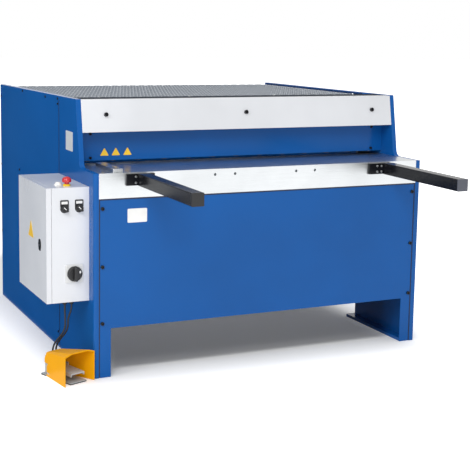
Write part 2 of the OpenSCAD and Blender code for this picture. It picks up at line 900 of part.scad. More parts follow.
module main_switch_plate() {
  color("#dcdcd8") translate([switch_cx, cab_y0, switch_cz]) rotate([90, 0, 0])
    difference() {
      linear_extrude(plate_rise) round_rect(switch_plate, switch_plate, plate_corner);
      translate([0, 0, -1])
        cylinder(d = shaft_d + 2 * shaft_gap, h = plate_rise + 2);
    }
}

// Handle of the main switch: a disc, a grip across it and a shaft
module main_switch_handle() {
  color("#1a1b1e") translate([switch_cx, cab_y0 - plate_rise - control_gap, switch_cz])
    rotate([90, 0, 0]) union() {
      cylinder(d = switch_d, h = switch_t);
      linear_extrude(switch_t + switch_grip_h)
        round_rect(switch_grip_w, switch_d - grip_inset, switch_grip_w / 2 - 1);
      translate([0, 0, -plate_rise]) cylinder(d = shaft_d, h = plate_rise + eps);
    }
}

// Outline of a legend plate: an upper field that ends in a ring round the knob
module legend_outline() {
  union() {
    translate([0, (legend_h - field_h) / 2]) round_rect(legend_w, field_h, plate_corner);
    translate([0, -knob_drop]) circle(d = legend_w);
  }
}

module selector_plates() {
  color("#1a1b1e") for (x = selector_cx)
    translate([x, cab_y0, selector_cz]) rotate([90, 0, 0]) difference() {
      linear_extrude(legend_t) legend_outline();
      translate([0, -knob_drop, -1])
        cylinder(d = shaft_d + 2 * shaft_gap, h = legend_t + 2);
    }
}

// Selector knob with a raised grip across it and a shaft behind it
module selector_knob(x) {
  translate([x, cab_y0 - legend_t - control_gap, selector_cz - knob_drop])
    rotate([90, 0, 0]) union() {
      cylinder(d = knob_d, h = knob_l / 2);
      rotate(selector_rest) linear_extrude(knob_l)
        round_rect(knob_grip_w, knob_d - 2, knob_grip_w / 2 - eps);
      translate([0, 0, -legend_t]) cylinder(d = shaft_d, h = legend_t + eps);
    }
}

module left_selector_knob() {
  color("#141518") selector_knob(selector_cx[0]);
}

module right_selector_knob() {
  color("#141518") selector_knob(selector_cx[1]);
}

collar_h = 8;
collar_edge = 1;
collar_floor = 1;
dome_ratio = 0.64;
stop_travel = 4;

module stop_collar() {
  color("#e8c81e") translate([stop_cx, stop_cy, cab_z1])
    difference() {
      cylinder(d = stop_d - 2 * collar_edge, h = collar_h);
      translate([0, 0, collar_floor])
        cylinder(d = stop_d / 2 + 2 * shaft_gap, h = collar_h);
    }
}

// Mushroom head of the emergency stop, on a stem in the collar
module stop_button() {
  stem_z = collar_floor + stop_travel + control_gap;
  head_z = collar_h + stop_travel + control_gap;
  dome_r = stop_d * dome_ratio;
  color("#cc2028") translate([stop_cx, stop_cy, cab_z1]) union() {
    translate([0, 0, stem_z]) cylinder(d = stop_d / 2, h = head_z - stem_z + eps);
    translate([0, 0, head_z]) cylinder(d = stop_d, h = stop_h / 2);
    translate([0, 0, head_z + stop_h / 2 - eps]) intersection() {
      cylinder(d = stop_d, h = stop_h / 2);
      translate([0, 0, stop_h / 2 - dome_r]) sphere(r = dome_r);
    }
  }
}

lamp_ring_h = 4;
lamp_lens_h = 3;
lamp_step = 6;
lamp_dome_ratio = 0.75;

// Pilot lamp: a ring, a round lens and its dome
module pilot_lamp() {
  lens_d = lamp_d - lamp_step;
  lens_z = lamp_ring_h + lamp_lens_h;
  dome_r = lamp_dome_ratio * lens_d;
  color("#f2f2ee") translate([stop_cx - lamp_dx, stop_cy + lamp_dy, cab_z1]) union() {
    cylinder(d = lamp_d, h = lamp_ring_h);
    cylinder(d = lens_d, h = lens_z);
    translate([0, 0, lens_z - eps]) intersection() {
      translate([0, 0, -sqrt(dome_r * dome_r - lens_d * lens_d / 4)]) sphere(r = dome_r);
      cylinder(d = lens_d, h = lens_d);
    }
  }
}

gland_cx = [cab_x1 - gland_x - gland_pitch, cab_x1 - gland_x];
gland_cy = cab_y0 + gland_y;
gland_nut_h = 8;
gland_step = 4;

// Cable glands under the cabinet, each with a hexagon nut
module cable_glands() {
  color("#232428") for (x = gland_cx)
    translate([x, gland_cy, cab_z - gland_h]) union() {
      cylinder(d = gland_d - gland_step, h = gland_h);
      translate([0, 0, gland_h - gland_nut_h]) cylinder(d = gland_d, h = gland_nut_h, $fn = 6);
    }
}

// Foot switch, drawn about its own middle and turned into place

pedal_x = -outer_w - pedal_out;

module pedal_place() {
  translate([pedal_x, pedal_y, 0]) rotate([0, 0, pedal_turn]) children();
}

hood_y0 = -hood_l / 2;
hood_y1 = hood_l / 2;
hood_slope = (hood_front_w - hood_rear_w) / hood_l;
mouth_chamfer = [27, 9];
rear_chamfer = [4, 1.5];
hood_slant_l = 18.5;
hood_slant_h = 27;
notch_step = 10;

// Hood outline of a given width and height with chamfered corners, as [x, z]
function hood_points(w, h, c) = [[-w / 2, 0], [-w / 2, h - c[1]], [-w / 2 + c[0], h],
  [w / 2 - c[0], h], [w / 2, h - c[1]], [w / 2, 0]];

// Six-sided tunnel over the hood's length; d is taken off its wall and its roof,
// more is its length beyond both ends
module tunnel(d, more) {
  a = hood_points(hood_front_w - 2 * d + hood_slope * more, hood_h - d, mouth_chamfer);
  b = hood_points(hood_rear_w - 2 * d - hood_slope * more, hood_rear_h - d, rear_chamfer);
  n = len(a);
  polyhedron(
    points = concat([for (p = a) [p[0], hood_y0 - more, p[1]]],
      [for (p = b) [p[0], hood_y1 + more, p[1]]]),
    faces = concat([[for (i = [0 : n - 1]) i]], [[for (i = [n - 1 : -1 : 0]) n + i]],
      [for (i = [0 : n - 1]) [(i + 1) % n, i, n + i, n + (i + 1) % n]]));
}

// What the hood's rear end lacks beside the housing, as [y, z]
hood_rear_cut = [[hood_y1 + 1, hood_h + 1], [hood_y1 - hood_slant_l, hood_h + 1],
  [hood_y1 - hood_slant_l, hood_rear_h + 3], [hood_y1, hood_rear_h + 3 - hood_slant_h],
  [hood_y1, hood_notch_h], [hood_y1 - hood_notch_d - notch_step, hood_notch_h],
  [hood_y1 - hood_notch_d, hood_notch_h - notch_step], [hood_y1 - hood_notch_d, -1],
  [hood_y1 + 1, -1]];

module pedal_hood() {
  color("#fab01e") pedal_place() difference() {
    tunnel(0, 0);
    translate([0, 0, -1]) tunnel(hood_t, 1);
    across(-hood_front_w, hood_front_w) polygon(hood_rear_cut);
  }
}

pedal_floor_y = hood_y0 + 8;
body_y1 = hood_y1 + 4;
body_y0 = body_y1 - pedal_body_l;
pedal_gland_l = 12;
pedal_gland_y = body_y1 - 10;
pedal_gland_x = [2.5, 2.5 + pedal_cable_pitch];
ear_t = 3;
ear_l = 14;
ear_gap = 2.5;
lug_gap = 0.3;
treadle_y = body_y0 - ear_l / 2;

// Foot switch base: floor plate between the hood's walls, switch housing,
// glands and the treadle's ears
module pedal_base() {
  ear_x = treadle_w / 2 + ear_gap;
  wide = pedal_base_w / 2;
  seat_y = hood_y0 + (hood_front_w - 2 * (hood_t + lug_gap) - pedal_base_w) / hood_slope;
  rear_y = hood_y1 - hood_notch_d + 1;
  narrow = wide - (rear_y - seat_y) * hood_slope / 2;
  plate = [[wide, pedal_floor_y], [wide, seat_y], [narrow, rear_y], [wide, rear_y],
    [wide, body_y1 + 8]];
  color("#b6b9bb") pedal_place() union() {
    for (side = [0, 1]) mirror([side, 0, 0]) linear_extrude(pedal_base_t)
      polygon(concat([[-1, body_y1 + 8], [-1, pedal_floor_y]], plate));
    box([-pedal_body_w / 2, body_y0, pedal_base_t - eps],
        [pedal_body_w / 2, body_y1, pedal_base_t + pedal_body_h]);
    for (x = pedal_gland_x)
      translate([x, pedal_gland_y, pedal_base_t + pedal_body_h - eps])
        cylinder(d = 2 * cable_d, h = pedal_gland_l);
    for (x = [-ear_x - ear_t, ear_x])
      difference() {
        box([x, body_y0 - ear_l, pedal_base_t - eps],
            [x + ear_t, body_y0 + eps, treadle_pin_z + treadle_pin_d]);
        bar_x([x - 1, treadle_y, treadle_pin_z], treadle_pin_d, ear_t + 2);
      }
  }
}

treadle_rib_w = 3;
treadle_rib_h = 9;

module pedal_treadle() {
  pin_l = treadle_w + 2 * (ear_gap + ear_t) - 1;
  color("#a4a8ab") pedal_place() translate([0, treadle_y, treadle_pin_z])
    rotate([treadle_tilt, 0, 0]) union() {
      box([-treadle_w / 2, -treadle_l, -treadle_t / 2], [treadle_w / 2, 0, treadle_t / 2]);
      for (x = [-treadle_w / 2, treadle_w / 2 - treadle_rib_w])
        box([x, -treadle_l, -treadle_rib_h], [x + treadle_rib_w, 0, 0]);
      bar_x([-pin_l / 2, 0, 0], treadle_pin_d - 2 * shaft_gap, pin_l);
    }
}

// Cables of the foot switch: each drops from its gland in the cabinet and loops
// into its gland on the foot switch, along points chosen by hand

left_drop = [[0, 0, 0], [0, 0, -13], [0.5, 0, -30], [1.4, 0, -50], [1.6, 0, -70]];
right_drop = [[0, 0, 0], [0, 0, -12], [-3, 0, -26], [-8, 0, -40], [-11.5, 0, -54],
  [-12.5, 0, -70]];
left_loop = [[32, 43.5, 169.9], [29.9, 45.9, 158.8], [26.5, 49.6, 148.7], [22.2, 54.3, 139.3],
  [17.5, 59.5, 130.4], [12.9, 64.5, 121.7], [8.7, 69.2, 112.3], [5.3, 72.9, 102.2],
  [3.2, 75.3, 91.1], [2.5, 76, 80]];
right_loop = [[41.4, 40.1, 169.9], [39.6, 42.6, 159], [36.7, 46.8, 148.7], [33.1, 52, 139.3],
  [29.3, 57.6, 130.6], [25.3, 63.3, 121.7], [21.7, 68.5, 112.3], [18.8, 72.7, 102],
  [17.1, 75.2, 91.1], [16.5, 76, 80]];

// Point given about the foot switch's middle
function at_pedal(p) = [
  pedal_x + p[0] * cos(pedal_turn) - p[1] * sin(pedal_turn),
  pedal_y + p[0] * sin(pedal_turn) + p[1] * cos(pedal_turn), p[2]];

// Points of a cable below the cabinet's gland k
function cable_route(k, drop, loop) = concat(
  [for (p = drop) [gland_cx[k], gland_cy, cab_z - gland_h] + p],
  [for (p = loop) at_pedal(p)]);

function unit(v) = v / norm(v);

// Ring of eight points around a route's point
function ring(p, dir, r) =
  let (side = unit(cross(dir, [0, 1, 0.2])), up = cross(side, dir))
  [for (a = [0 : 45 : 315]) p + r * (cos(a) * side + sin(a) * up)];

// Point between p1 and p2 on a smooth curve through four points
function between(p0, p1, p2, p3) = (9 * (p1 + p2) - p0 - p3) / 16;

// Route with one more point between each pair of its own
function smooth(r) = let (n = len(r)) [for (i = [0 : 2 * n - 2])
  i % 2 == 0 ? r[i / 2] : let (k = (i - 1) / 2)
    between(r[max(k - 1, 0)], r[k], r[k + 1], r[min(k + 2, n - 1)])];

// Tube along a route's points
module cable(points_by_hand) {
  route = smooth(points_by_hand);
  n = len(route);
  dirs = [for (i = [0 : n - 1])
    unit(route[min(i + 1, n - 1)] - route[max(i - 1, 0)])];
  rings = [for (i = [0 : n - 1]) ring(route[i], dirs[i], cable_d / 2)];
  polyhedron(
    points = [for (r = rings, p = r) p],
    faces = concat([[for (k = [0 : 7]) k]], [[for (k = [7 : -1 : 0]) (n - 1) * 8 + k]],
      [for (i = [0 : n - 2], k = [0 : 7])
        [i * 8 + k, (i + 1) * 8 + k, (i + 1) * 8 + (k + 1) % 8, i * 8 + (k + 1) % 8]]));
}

module left_cable() {
  color("#17181a") cable(cable_route(0, left_drop, left_loop));
}

module right_cable() {
  color("#17181a") cable(cable_route(1, right_drop, right_loop));
}

left_frame();
right_frame();
table_beam();
lower_blade();
side_gauge();
front_panel();
front_cover();
top_beam();
top_strip();
finger_guard();
hold_down();
ram();
upper_blade();
left_guide();
right_guide();
perforated_top();
left_rear_guard();
right_rear_guard();
rear_panel();
delivery_chute();
lower_beam();
rear_tie();
left_arm();
right_arm();
left_bracket();
right_bracket();
left_arm_cap();
right_arm_cap();
cabinet();
cabinet_door();
door_lock();
mounting_plate();
contactors();
terminal_strip();
main_switch_plate();
main_switch_handle();
selector_plates();
left_selector_knob();
right_selector_knob();
stop_collar();
stop_button();
pilot_lamp();
cable_glands();
pedal_hood();
pedal_base();
pedal_treadle();
left_cable();
right_cable();
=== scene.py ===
import json
import math

import bmesh
import bpy
from bpy.props import FloatProperty, FloatVectorProperty, PointerProperty
from mathutils import Matrix, Vector
from mathutils.geometry import interpolate_bezier


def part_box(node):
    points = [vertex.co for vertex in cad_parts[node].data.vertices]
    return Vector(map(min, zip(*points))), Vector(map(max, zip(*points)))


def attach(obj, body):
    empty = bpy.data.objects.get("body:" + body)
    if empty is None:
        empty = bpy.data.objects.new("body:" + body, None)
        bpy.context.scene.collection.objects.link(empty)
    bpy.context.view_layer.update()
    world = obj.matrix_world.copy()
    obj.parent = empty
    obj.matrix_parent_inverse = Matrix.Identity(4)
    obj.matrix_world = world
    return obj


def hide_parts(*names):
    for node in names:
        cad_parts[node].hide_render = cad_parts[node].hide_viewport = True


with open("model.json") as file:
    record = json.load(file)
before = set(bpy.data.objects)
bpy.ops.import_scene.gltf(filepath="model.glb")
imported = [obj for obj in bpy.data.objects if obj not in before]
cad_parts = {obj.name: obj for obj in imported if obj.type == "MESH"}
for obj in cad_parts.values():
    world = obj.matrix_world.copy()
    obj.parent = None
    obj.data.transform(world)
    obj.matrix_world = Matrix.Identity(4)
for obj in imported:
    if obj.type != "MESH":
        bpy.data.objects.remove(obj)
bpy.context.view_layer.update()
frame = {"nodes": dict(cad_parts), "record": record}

bl_info = {
    "name": "Guillotine shear",
    "version": (1, 0, 0),
    "blender": (4, 5, 0),
    "location": "3D View > Sidebar > Shear",
    "description": "Finishes and fittings of a motorized guillotine shear",
    "category": "Object",
}

MM = 0.001
# points that are closer than this lie in one place
NEAR = 0.01 * MM
X, Y, Z = Vector((1, 0, 0)), Vector((0, 1, 0)), Vector((0, 0, 1))


def mm(*values):
    """Millimetres as a vector in metres."""
    return Vector(values) * MM


def linear(code):
    """An sRGB hex colour as linear values."""
    parts = [int(code[i:i + 2], 16) / 255 for i in (1, 3, 5)]
    return (*[c / 12.92 if c <= 0.04045 else ((c + 0.055) / 1.055) ** 2.4 for c in parts], 1.0)


# Settings that a user would change


def colour(name, description, code):
    return FloatVectorProperty(name=name, description=description, subtype="COLOR",
                               size=4, min=0, max=1, default=linear(code))


def length(name, description, value):
    return FloatProperty(name=name, description=description, unit="LENGTH",
                         default=value * MM, min=0)


class ShearColours(bpy.types.PropertyGroup):
    blue: colour("Blue", "Powder coat of the frame and its guards", "#0E559D")
    white: colour("White", "Powder coat of the front cover and the cabinet", "#D6D8DC")
    dark: colour("Dark grey", "Enamel of the ram and the hold-down", "#34393F")
    black: colour("Black", "Powder coat of the support arms", "#15161A")
    hood: colour("Yellow", "Hood of the foot switch", "#ECA60C")
    stop: colour("Red", "Head of the emergency stop", "#C4161E")
    sign: colour("Sign yellow", "Plain triangles on the guard and the door", "#F6C61A")


class ShearSizes(bpy.types.PropertyGroup):
    edge: length("Edge radius", "Radius of the folded and ground edges", 1.2)
    slot_pitch: length("Slot pitch", "Distance between two slots of the perforated top", 43)
    slot_l: length("Slot length", "Length of a slot of the perforated top", 26)
    slot_w: length("Slot width", "Width of a slot of the perforated top", 11)
    slot_lift: length("Slot lift", "Height of the raised rear edge of a slot", 2)
    row_pitch: length("Row pitch", "Distance between two rows of slots", 20)
    cover_screw: length("Cover screw", "Head of a screw in the front cover", 15)
    panel_screw: length("Panel screw", "Head of a screw in the front panel", 13)
    sign_side: length("Triangle side", "Side of a triangle on the finger guard", 33)


class ShearLight(bpy.types.PropertyGroup):
    fill: FloatProperty(name="Fill", description="Strength of the light from all round",
                        default=0.62, min=0)
    key: FloatProperty(name="Key", description="Power of the large lamp in front, in watts",
                       default=150, min=0)
    floor: colour("Floor", "Colour of the floor", "#F4F4F4")


# Materials


def add(mat, kind, inputs=None, **settings):
    """Adds a node with its settings; an input is a value or another node's output."""
    node = mat.node_tree.nodes.new(kind)
    for name, value in settings.items():
        setattr(node, name, value)
    for name, value in (inputs or {}).items():
        if isinstance(value, bpy.types.NodeSocket):
            mat.node_tree.links.new(value, node.inputs[name])
        else:
            node.inputs[name].default_value = value
    return node


def new_material(name):
    """An empty material with its output, and the place on the object as a socket."""
    mat = bpy.data.materials.new(name)
    mat.use_nodes = True
    mat.node_tree.nodes.clear()
    return mat, add(mat, "ShaderNodeTexCoord").outputs["Object"]


def shine(mat, inputs):
    """Ends a material with its surface shader."""
    surface = add(mat, "ShaderNodeBsdfPrincipled", inputs)
    add(mat, "ShaderNodeOutputMaterial", {"Surface": surface.outputs["BSDF"]})
    return mat


def shades(base, low, high):
    """Two shades of a colour, darker and lighter."""
    return [(*[min(1, c * k) for c in base[:3]], 1) for k in (low, high)]


def ramp(mat, fac, low, high, ends=(0.35, 0.65)):
    """A colour ramp between two colours."""
    node = add(mat, "ShaderNodeValToRGB", {"Fac": fac})
    for element, place, value in zip(node.color_ramp.elements, ends, (low, high)):
        element.position = place
        element.color = value
    return node.outputs["Color"]


def noise(mat, place, scale, detail=2.0, **inputs):
    """Noise with a scale in bumps per metre."""
    return add(mat, "ShaderNodeTexNoise", {"Vector": place, "Scale": scale,
                                           "Detail": detail, **inputs}).outputs["Fac"]


def spread(mat, value, low, high):
    """A value from 0 to 1, spread between two limits."""
    return add(mat, "ShaderNodeMapRange", {"Value": value, "To Min": low,
                                           "To Max": high}).outputs["Result"]


def relief(mat, height, strength, distance):
    """The normals of a surface with a relief some tenths of a millimetre high."""
    return add(mat, "ShaderNodeBump", {"Height": height, "Strength": strength,
                                       "Distance": distance * MM}).outputs["Normal"]


def seen_by(mat, *kinds):
    """1 for rays of some kinds, such as Camera or Glossy, and 0 for all others."""
    rays = add(mat, "ShaderNodeLightPath").outputs
    seen = rays[f"Is {kinds[0]} Ray"]
    for kind in kinds[1:]:
        seen = add(mat, "ShaderNodeMath", {0: seen, 1: rays[f"Is {kind} Ray"]},
                   operation="MAXIMUM").outputs["Value"]
    return seen


def coated(name, base, rough, peel=1.6, depth=0.05, coat=0.25, specular=0.5):
    """Powder coat on steel: even colour, a soft gloss and a fine orange peel of 1 to 2 mm."""
    mat, place = new_material(name)
    cloud = noise(mat, place, 3.0, 3.0)
    peeled = noise(mat, place, 1 / (peel * MM))
    return shine(mat, {"Base Color": ramp(mat, cloud, *shades(base, 0.95, 1.05)),
                       "Roughness": spread(mat, cloud, rough - 0.03, rough + 0.04),
                       "Normal": relief(mat, peeled, depth, 0.2),
                       "Specular IOR Level": specular,
                       "Coat Weight": coat, "Coat Roughness": 0.12})


def ground(name, base, rough, streak):
    """Ground steel: fine parallel scratches left by the wheel, drawn a little coarser."""
    mat, place = new_material(name)
    lay = add(mat, "ShaderNodeMapping", {"Vector": place, "Scale": streak}).outputs["Vector"]
    scratch = noise(mat, lay, 1.0, 4.0, Roughness=0.6)
    mixed = add(mat, "ShaderNodeMath", {0: scratch, 1: noise(mat, place, 7.0, 3.0)},
                operation="MULTIPLY").outputs["Value"]
    tone = ramp(mat, mixed, *shades(base, 0.86, 1.04), ends=(0.1, 0.42))
    return shine(mat, {"Base Color": tone, "Metallic": 1.0,
                       "Roughness": spread(mat, scratch, rough - 0.07, rough + 0.1),
                       "Normal": relief(mat, scratch, 0.12, 0.1)})


def galvanised(name, base):
    """Hot-dip zinc: flat crystals about 9 mm across, each with its own shade and gloss."""
    mat, place = new_material(name)
    flower = add(mat, "ShaderNodeTexVoronoi", {"Vector": place, "Scale": 110.0,
                                               "Randomness": 1.0}).outputs["Color"]
    shade = add(mat, "ShaderNodeSeparateColor", {"Color": flower}).outputs
    tone = ramp(mat, shade["Red"], *shades(base, 0.8, 1.06), ends=(0.1, 0.9))
    return shine(mat, {"Base Color": tone, "Metallic": 0.9,
                       "Roughness": spread(mat, shade["Green"], 0.3, 0.5),
                       "Normal": relief(mat, noise(mat, place, 700.0), 0.08, 0.2)})


def cast(name, base, rough, metal, pit=2.2):
    """Cast metal: a pebbled skin with pits about 2 mm apart and a dull bloom."""
    mat, place = new_material(name)
    skin = add(mat, "ShaderNodeTexVoronoi", {"Vector": place, "Scale": 1 / (pit * MM)},
               feature="SMOOTH_F1").outputs["Distance"]
    tone = ramp(mat, noise(mat, place, 24.0, 4.0), *shades(base, 0.88, 1.08))
    return shine(mat, {"Base Color": tone, "Metallic": metal, "Roughness": rough,
                       "Normal": relief(mat, skin, 0.22, 0.3)})


def moulded(name, base, rough, depth=0.12, coat=0.0):
    """Moulded plastic: an even colour with the fine spark-eroded grain of its mould."""
    mat, place = new_material(name)
    grain = 0.9 * MM
    skin = noise(mat, place, 1 / grain, 3.0)
    tone = ramp(mat, noise(mat, place, 14.0), *shades(base, 0.94, 1.05))
    return shine(mat, {"Base Color": tone, "Roughness": rough, "IOR": 1.49,
                       "Normal": relief(mat, skin, depth, 0.15),
                       "Coat Weight": coat, "Coat Roughness": 0.05})


def sheathed(name, base):
    """Rubber-sheathed cable: matt, with faint lay marks of the cores 4 mm apart."""
    mat, place = new_material(name)
    lay = add(mat, "ShaderNodeTexWave", {"Vector": place, "Scale": 40.0, "Distortion": 1.5},
              bands_direction="Z").outputs["Fac"]
    tone = ramp(mat, lay, *shades(base, 0.9, 1.15))
    return shine(mat, {"Base Color": tone, "Roughness": 0.42, "IOR": 1.52,
                       "Normal": relief(mat, lay, 0.1, 0.2)})


# how often the scratches of ground steel change along X and across it, per metre
ALONG_X = (6.0, 900.0, 900.0)
# the materials by the names that the pieces use
finishes = {}


def make_finishes(c):
    """Makes the materials, one for each slot of the record and a few for fittings."""
    finishes.update({
        # gloss powder coat on sheet steel, which mirrors its surroundings softly
        "blue_paint": coated("Blue powder coat", c.blue, 0.18, coat=0.0, specular=0.16),
        "white_paint": coated("White powder coat", c.white, 0.28, coat=0.2),
        # brushed-on enamel, dark grey and dull
        "dark_paint": coated("Dark grey enamel", c.dark, 0.42, peel=3, coat=0.0),
        "black_paint": coated("Black powder coat", c.black, 0.2, depth=0.04, coat=0.0,
                              specular=0.12),
        # surface-ground table: near white where it mirrors the sky
        "ground_steel": ground("Surface-ground steel", linear("#CFD2D4"), 0.28, ALONG_X),
        "blade_steel": ground("Ground blade steel", linear("#B9BEC2"), 0.2, ALONG_X),
        "galvanised": galvanised("Galvanised sheet", linear("#CFD4DA")),
        "guide_iron": cast("Grey cast iron", linear("#565B60"), 0.5, 0.7),
        "black_plastic": moulded("Black polyamide", linear("#101114"), 0.5),
        "grey_plastic": moulded("Grey polyamide", linear("#8C9094"), 0.45),
        "light_plastic": moulded("Light grey ABS", linear("#DADBDB"), 0.38),
        "red_plastic": moulded("Red polycarbonate", c.stop, 0.25, depth=0.03, coat=0.4),
        "yellow_plastic": moulded("Yellow ABS", linear("#E6C21A"), 0.35),
        "lamp_plastic": moulded("White lamp lens", linear("#F0F0EC"), 0.15, depth=0.02,
                                coat=0.6),
        "hood_paint": coated("Yellow enamel on steel", c.hood, 0.34, peel=2, coat=0.0,
                             specular=0.08),
        "pedal_metal": cast("Painted die-cast aluminium", linear("#B4B7B8"), 0.42, 0.1),
        "cable_rubber": sheathed("Cable sheath", linear("#121315")),
        "sign_film": moulded("Yellow film", c.sign, 0.3, depth=0.02, coat=0.3),
        "white_film": moulded("White film", linear("#E9E9E7"), 0.3, depth=0.02, coat=0.3),
        "name_plate": moulded("Printed aluminium plate", linear("#C9CCCE"), 0.3, depth=0.02),
        # stopper pressed into the end of the right arm
        "stopper": moulded("Slate polyethylene", linear("#4E515B"), 0.5),
        # folded strip on the upper edge of the front cover: a dark matt colour without gloss, a
        # painted reflection of the dark surroundings that the bare metal strip mirrors
        "strip_painted_reflection": coated("Painted reflection on the strip", linear("#4A4E55"), 0.7, coat=0.0, specular=0.0),
        # painted shadow: a dark colour for the shade in the narrow gaps between the painted sheets
        "seam": moulded("Painted gap shadow", linear("#0A1A38"), 0.6),
        # dulled walls of the slots, where the zinc was punched through
        "slot_edge": cast("Weathered zinc edge", linear("#8A9098"), 0.6, 0.2),
        "zinc": cast("Zinc-plated steel", linear("#C2C5C6"), 0.3, 0.95, pit=1.4),
        "oxide": cast("Black-oxide steel", linear("#1B1C1F"), 0.38, 0.6, pit=1.4),
    })


# Meshes


def bar(bm, low, high):
    """Adds a box between two corners and returns its vertices."""
    place = Matrix.Translation((low + high) / 2) @ Matrix.Diagonal((*(high - low), 1))
    return bmesh.ops.create_cube(bm, size=1, matrix=place)["verts"]


def vertices(geometry):
    """The vertices among what an operator made."""
    return [g for g in geometry if isinstance(g, bmesh.types.BMVert)]


def bevel(bm, edges, width, segments, clamp=True):
    """Rounds some edges of a mesh."""
    bmesh.ops.bevel(bm, geom=edges, offset=width, offset_type="OFFSET", affect="EDGES",
                    segments=segments, profile=0.5, clamp_overlap=clamp, material=-1)


def facing(axis):
    """A turn that takes +Z to the axis."""
    return axis.to_track_quat("Z", "Y").to_matrix().to_4x4()


def rod(bm, start, axis, d, h, sides, tip=None):
    """Adds a round bar from a point along an axis, which may narrow to its tip."""
    place = Matrix.Translation(start + axis * h / 2) @ facing(axis)
    return bmesh.ops.create_cone(
        bm, cap_ends=True, segments=sides, radius1=d / 2,
        radius2=(d if tip is None else tip) / 2, depth=h, matrix=place)["verts"]


def lathe(bm, profile, start, axis, steps):
    """Spins a profile of (radius, height) pairs in millimetres and returns its vertices."""
    known = set(bm.verts)
    row = [bm.verts.new((r * MM, 0, h * MM)) for r, h in profile]
    edges = [bm.edges.new(pair) for pair in zip(row, row[1:])]
    bmesh.ops.spin(bm, geom=row + edges, cent=(0, 0, 0), axis=(0, 0, 1),
                   angle=math.tau, steps=steps, use_merge=True)
    made = [v for v in bm.verts if v not in known]
    bmesh.ops.remove_doubles(bm, verts=made, dist=1e-6)
    made = [v for v in bm.verts if v not in known]
    bmesh.ops.transform(bm, matrix=Matrix.Translation(start) @ facing(axis), verts=made)
    faces = list({f for v in made for f in v.link_faces})
    bmesh.ops.recalc_face_normals(bm, faces=faces)
    return made


def soften(bm, width, segments=2, angle=25):
    """Rounds the sharp edges of a mesh."""
    least = math.radians(angle)
    sharp = [e for e in bm.edges
             if len(e.link_faces) == 2 and e.calc_face_angle(0) > least]
    bevel(bm, sharp, width, segments)


def socket_screw(bm, seat, axis, d, h=None):
    """Adds the head of a socket screw: a chamfered cylinder with a hexagon recess."""
    h = h or d * 0.6
    lip = d * 0.08
    place = Matrix.Translation(seat) @ facing(axis)
    base = bmesh.ops.create_circle(bm, segments=24, radius=d / 2)["verts"]
    ring = base
    for lift, scale in ((h - lip, 1), (lip, 1 - 2 * lip / d)):
        edges = list({e for v in ring for e in v.link_edges
                      if all(w in ring for w in e.verts)})
        grown = bmesh.ops.extrude_edge_only(bm, edges=edges)["geom"]
        ring = vertices(grown)
        bmesh.ops.translate(bm, vec=(0, 0, lift), verts=ring)
        bmesh.ops.scale(bm, vec=(scale, scale, 1), verts=ring)
        base = base + ring
    hexagon = bmesh.ops.create_circle(bm, segments=6, radius=d * 0.3,
                                      matrix=Matrix.Translation((0, 0, h)))["verts"]
    rim = [e for e in bm.edges if e.is_wire or e.is_boundary]
    rim = [e for e in rim if all(abs(v.co.z - h) < 1e-7 for v in e.verts)
           and (all(v in ring for v in e.verts) or all(v in hexagon for v in e.verts))]
    bmesh.ops.bridge_loops(bm, edges=rim)
    inner = [e for e in rim if all(v in hexagon for v in e.verts)]
    sunk = bmesh.ops.extrude_edge_only(bm, edges=inner)["geom"]
    floor = vertices(sunk)
    bmesh.ops.translate(bm, vec=(0, 0, -h * 0.6), verts=floor)
    bmesh.ops.contextual_create(bm, geom=floor)
    made = base + hexagon + floor
    bmesh.ops.transform(bm, matrix=place, verts=made)
    bmesh.ops.recalc_face_normals(bm, faces=list({f for v in made for f in v.link_faces}))


def hexagon_head(bm, seat, axis, d, h):
    """Adds a hexagon screw head on its washer."""
    rod(bm, seat, axis, d * 1.35, d * 0.12, 28)
    rod(bm, seat + axis * d * 0.12, axis, d * 1.15, h * 0.82, 6)
    rod(bm, seat + axis * (d * 0.12 + h * 0.82), axis, d * 1.15, h * 0.18, 6, tip=d * 0.95)


# a face of this many square metres is kept flat in its shading
LARGE_FLAT = 0.002
NO_FOLD = math.radians(1)


def mark_edges(bm, limit):
    """Marks the edges that shade sharp: those over the limit, and all around a large flat."""
    for e in (e for e in bm.edges if len(e.link_faces) == 2):
        flat = max(f.calc_area() for f in e.link_faces) > LARGE_FLAT
        e.smooth = e.calc_face_angle(0) < (NO_FOLD if flat else limit)


def into_scene(name, data):
    """A new object in the scene, for a mesh, a curve, a lamp or a camera."""
    made = bpy.data.objects.new(name, data)
    bpy.context.scene.collection.objects.link(made)
    return made


def make_object(name, bm):
    """Turns a mesh under construction into an object of the scene."""
    mesh = bpy.data.meshes.new(name)
    bm.to_mesh(mesh)
    bm.free()
    return into_scene(name, mesh)


def make_piece(name, bm, finish, body="frame", node=None, smooth=21):
    """Turns a mesh into a piece of the object: its finish, its body and the node it replaces."""
    mark_edges(bm, math.radians(smooth))
    piece = make_object(name, bm)
    keys = [finish] if isinstance(finish, str) else finish
    for key in keys:
        piece.data.materials.append(finishes[key])
    piece.data.shade_smooth()
    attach(piece, body)
    if node:
        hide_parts(node)


def slot_of(node):
    """The record's material slot of a CAD node."""
    return next(p["material_slot"] for p in frame["record"]["subparts"] if p["node"] == node)


def body_of(node):
    """The body that a CAD node rides on."""
    bodies = frame["record"]["behaviour"]["bodies"]
    return next(name for name, members in bodies.items() if node in members)


def folded_node(node, width):
    """A copy of a CAD node with its loose triangles joined and its edges rounded."""
    bm = bmesh.new()
    bm.from_mesh(frame["nodes"][node].data)
    bmesh.ops.remove_doubles(bm, verts=bm.verts, dist=1e-6)
    bmesh.ops.dissolve_limit(bm, angle_limit=math.radians(1), verts=bm.verts,
                             edges=bm.edges, delimit=set())
    if width:
        soften(bm, width)
    return bm


# The stage


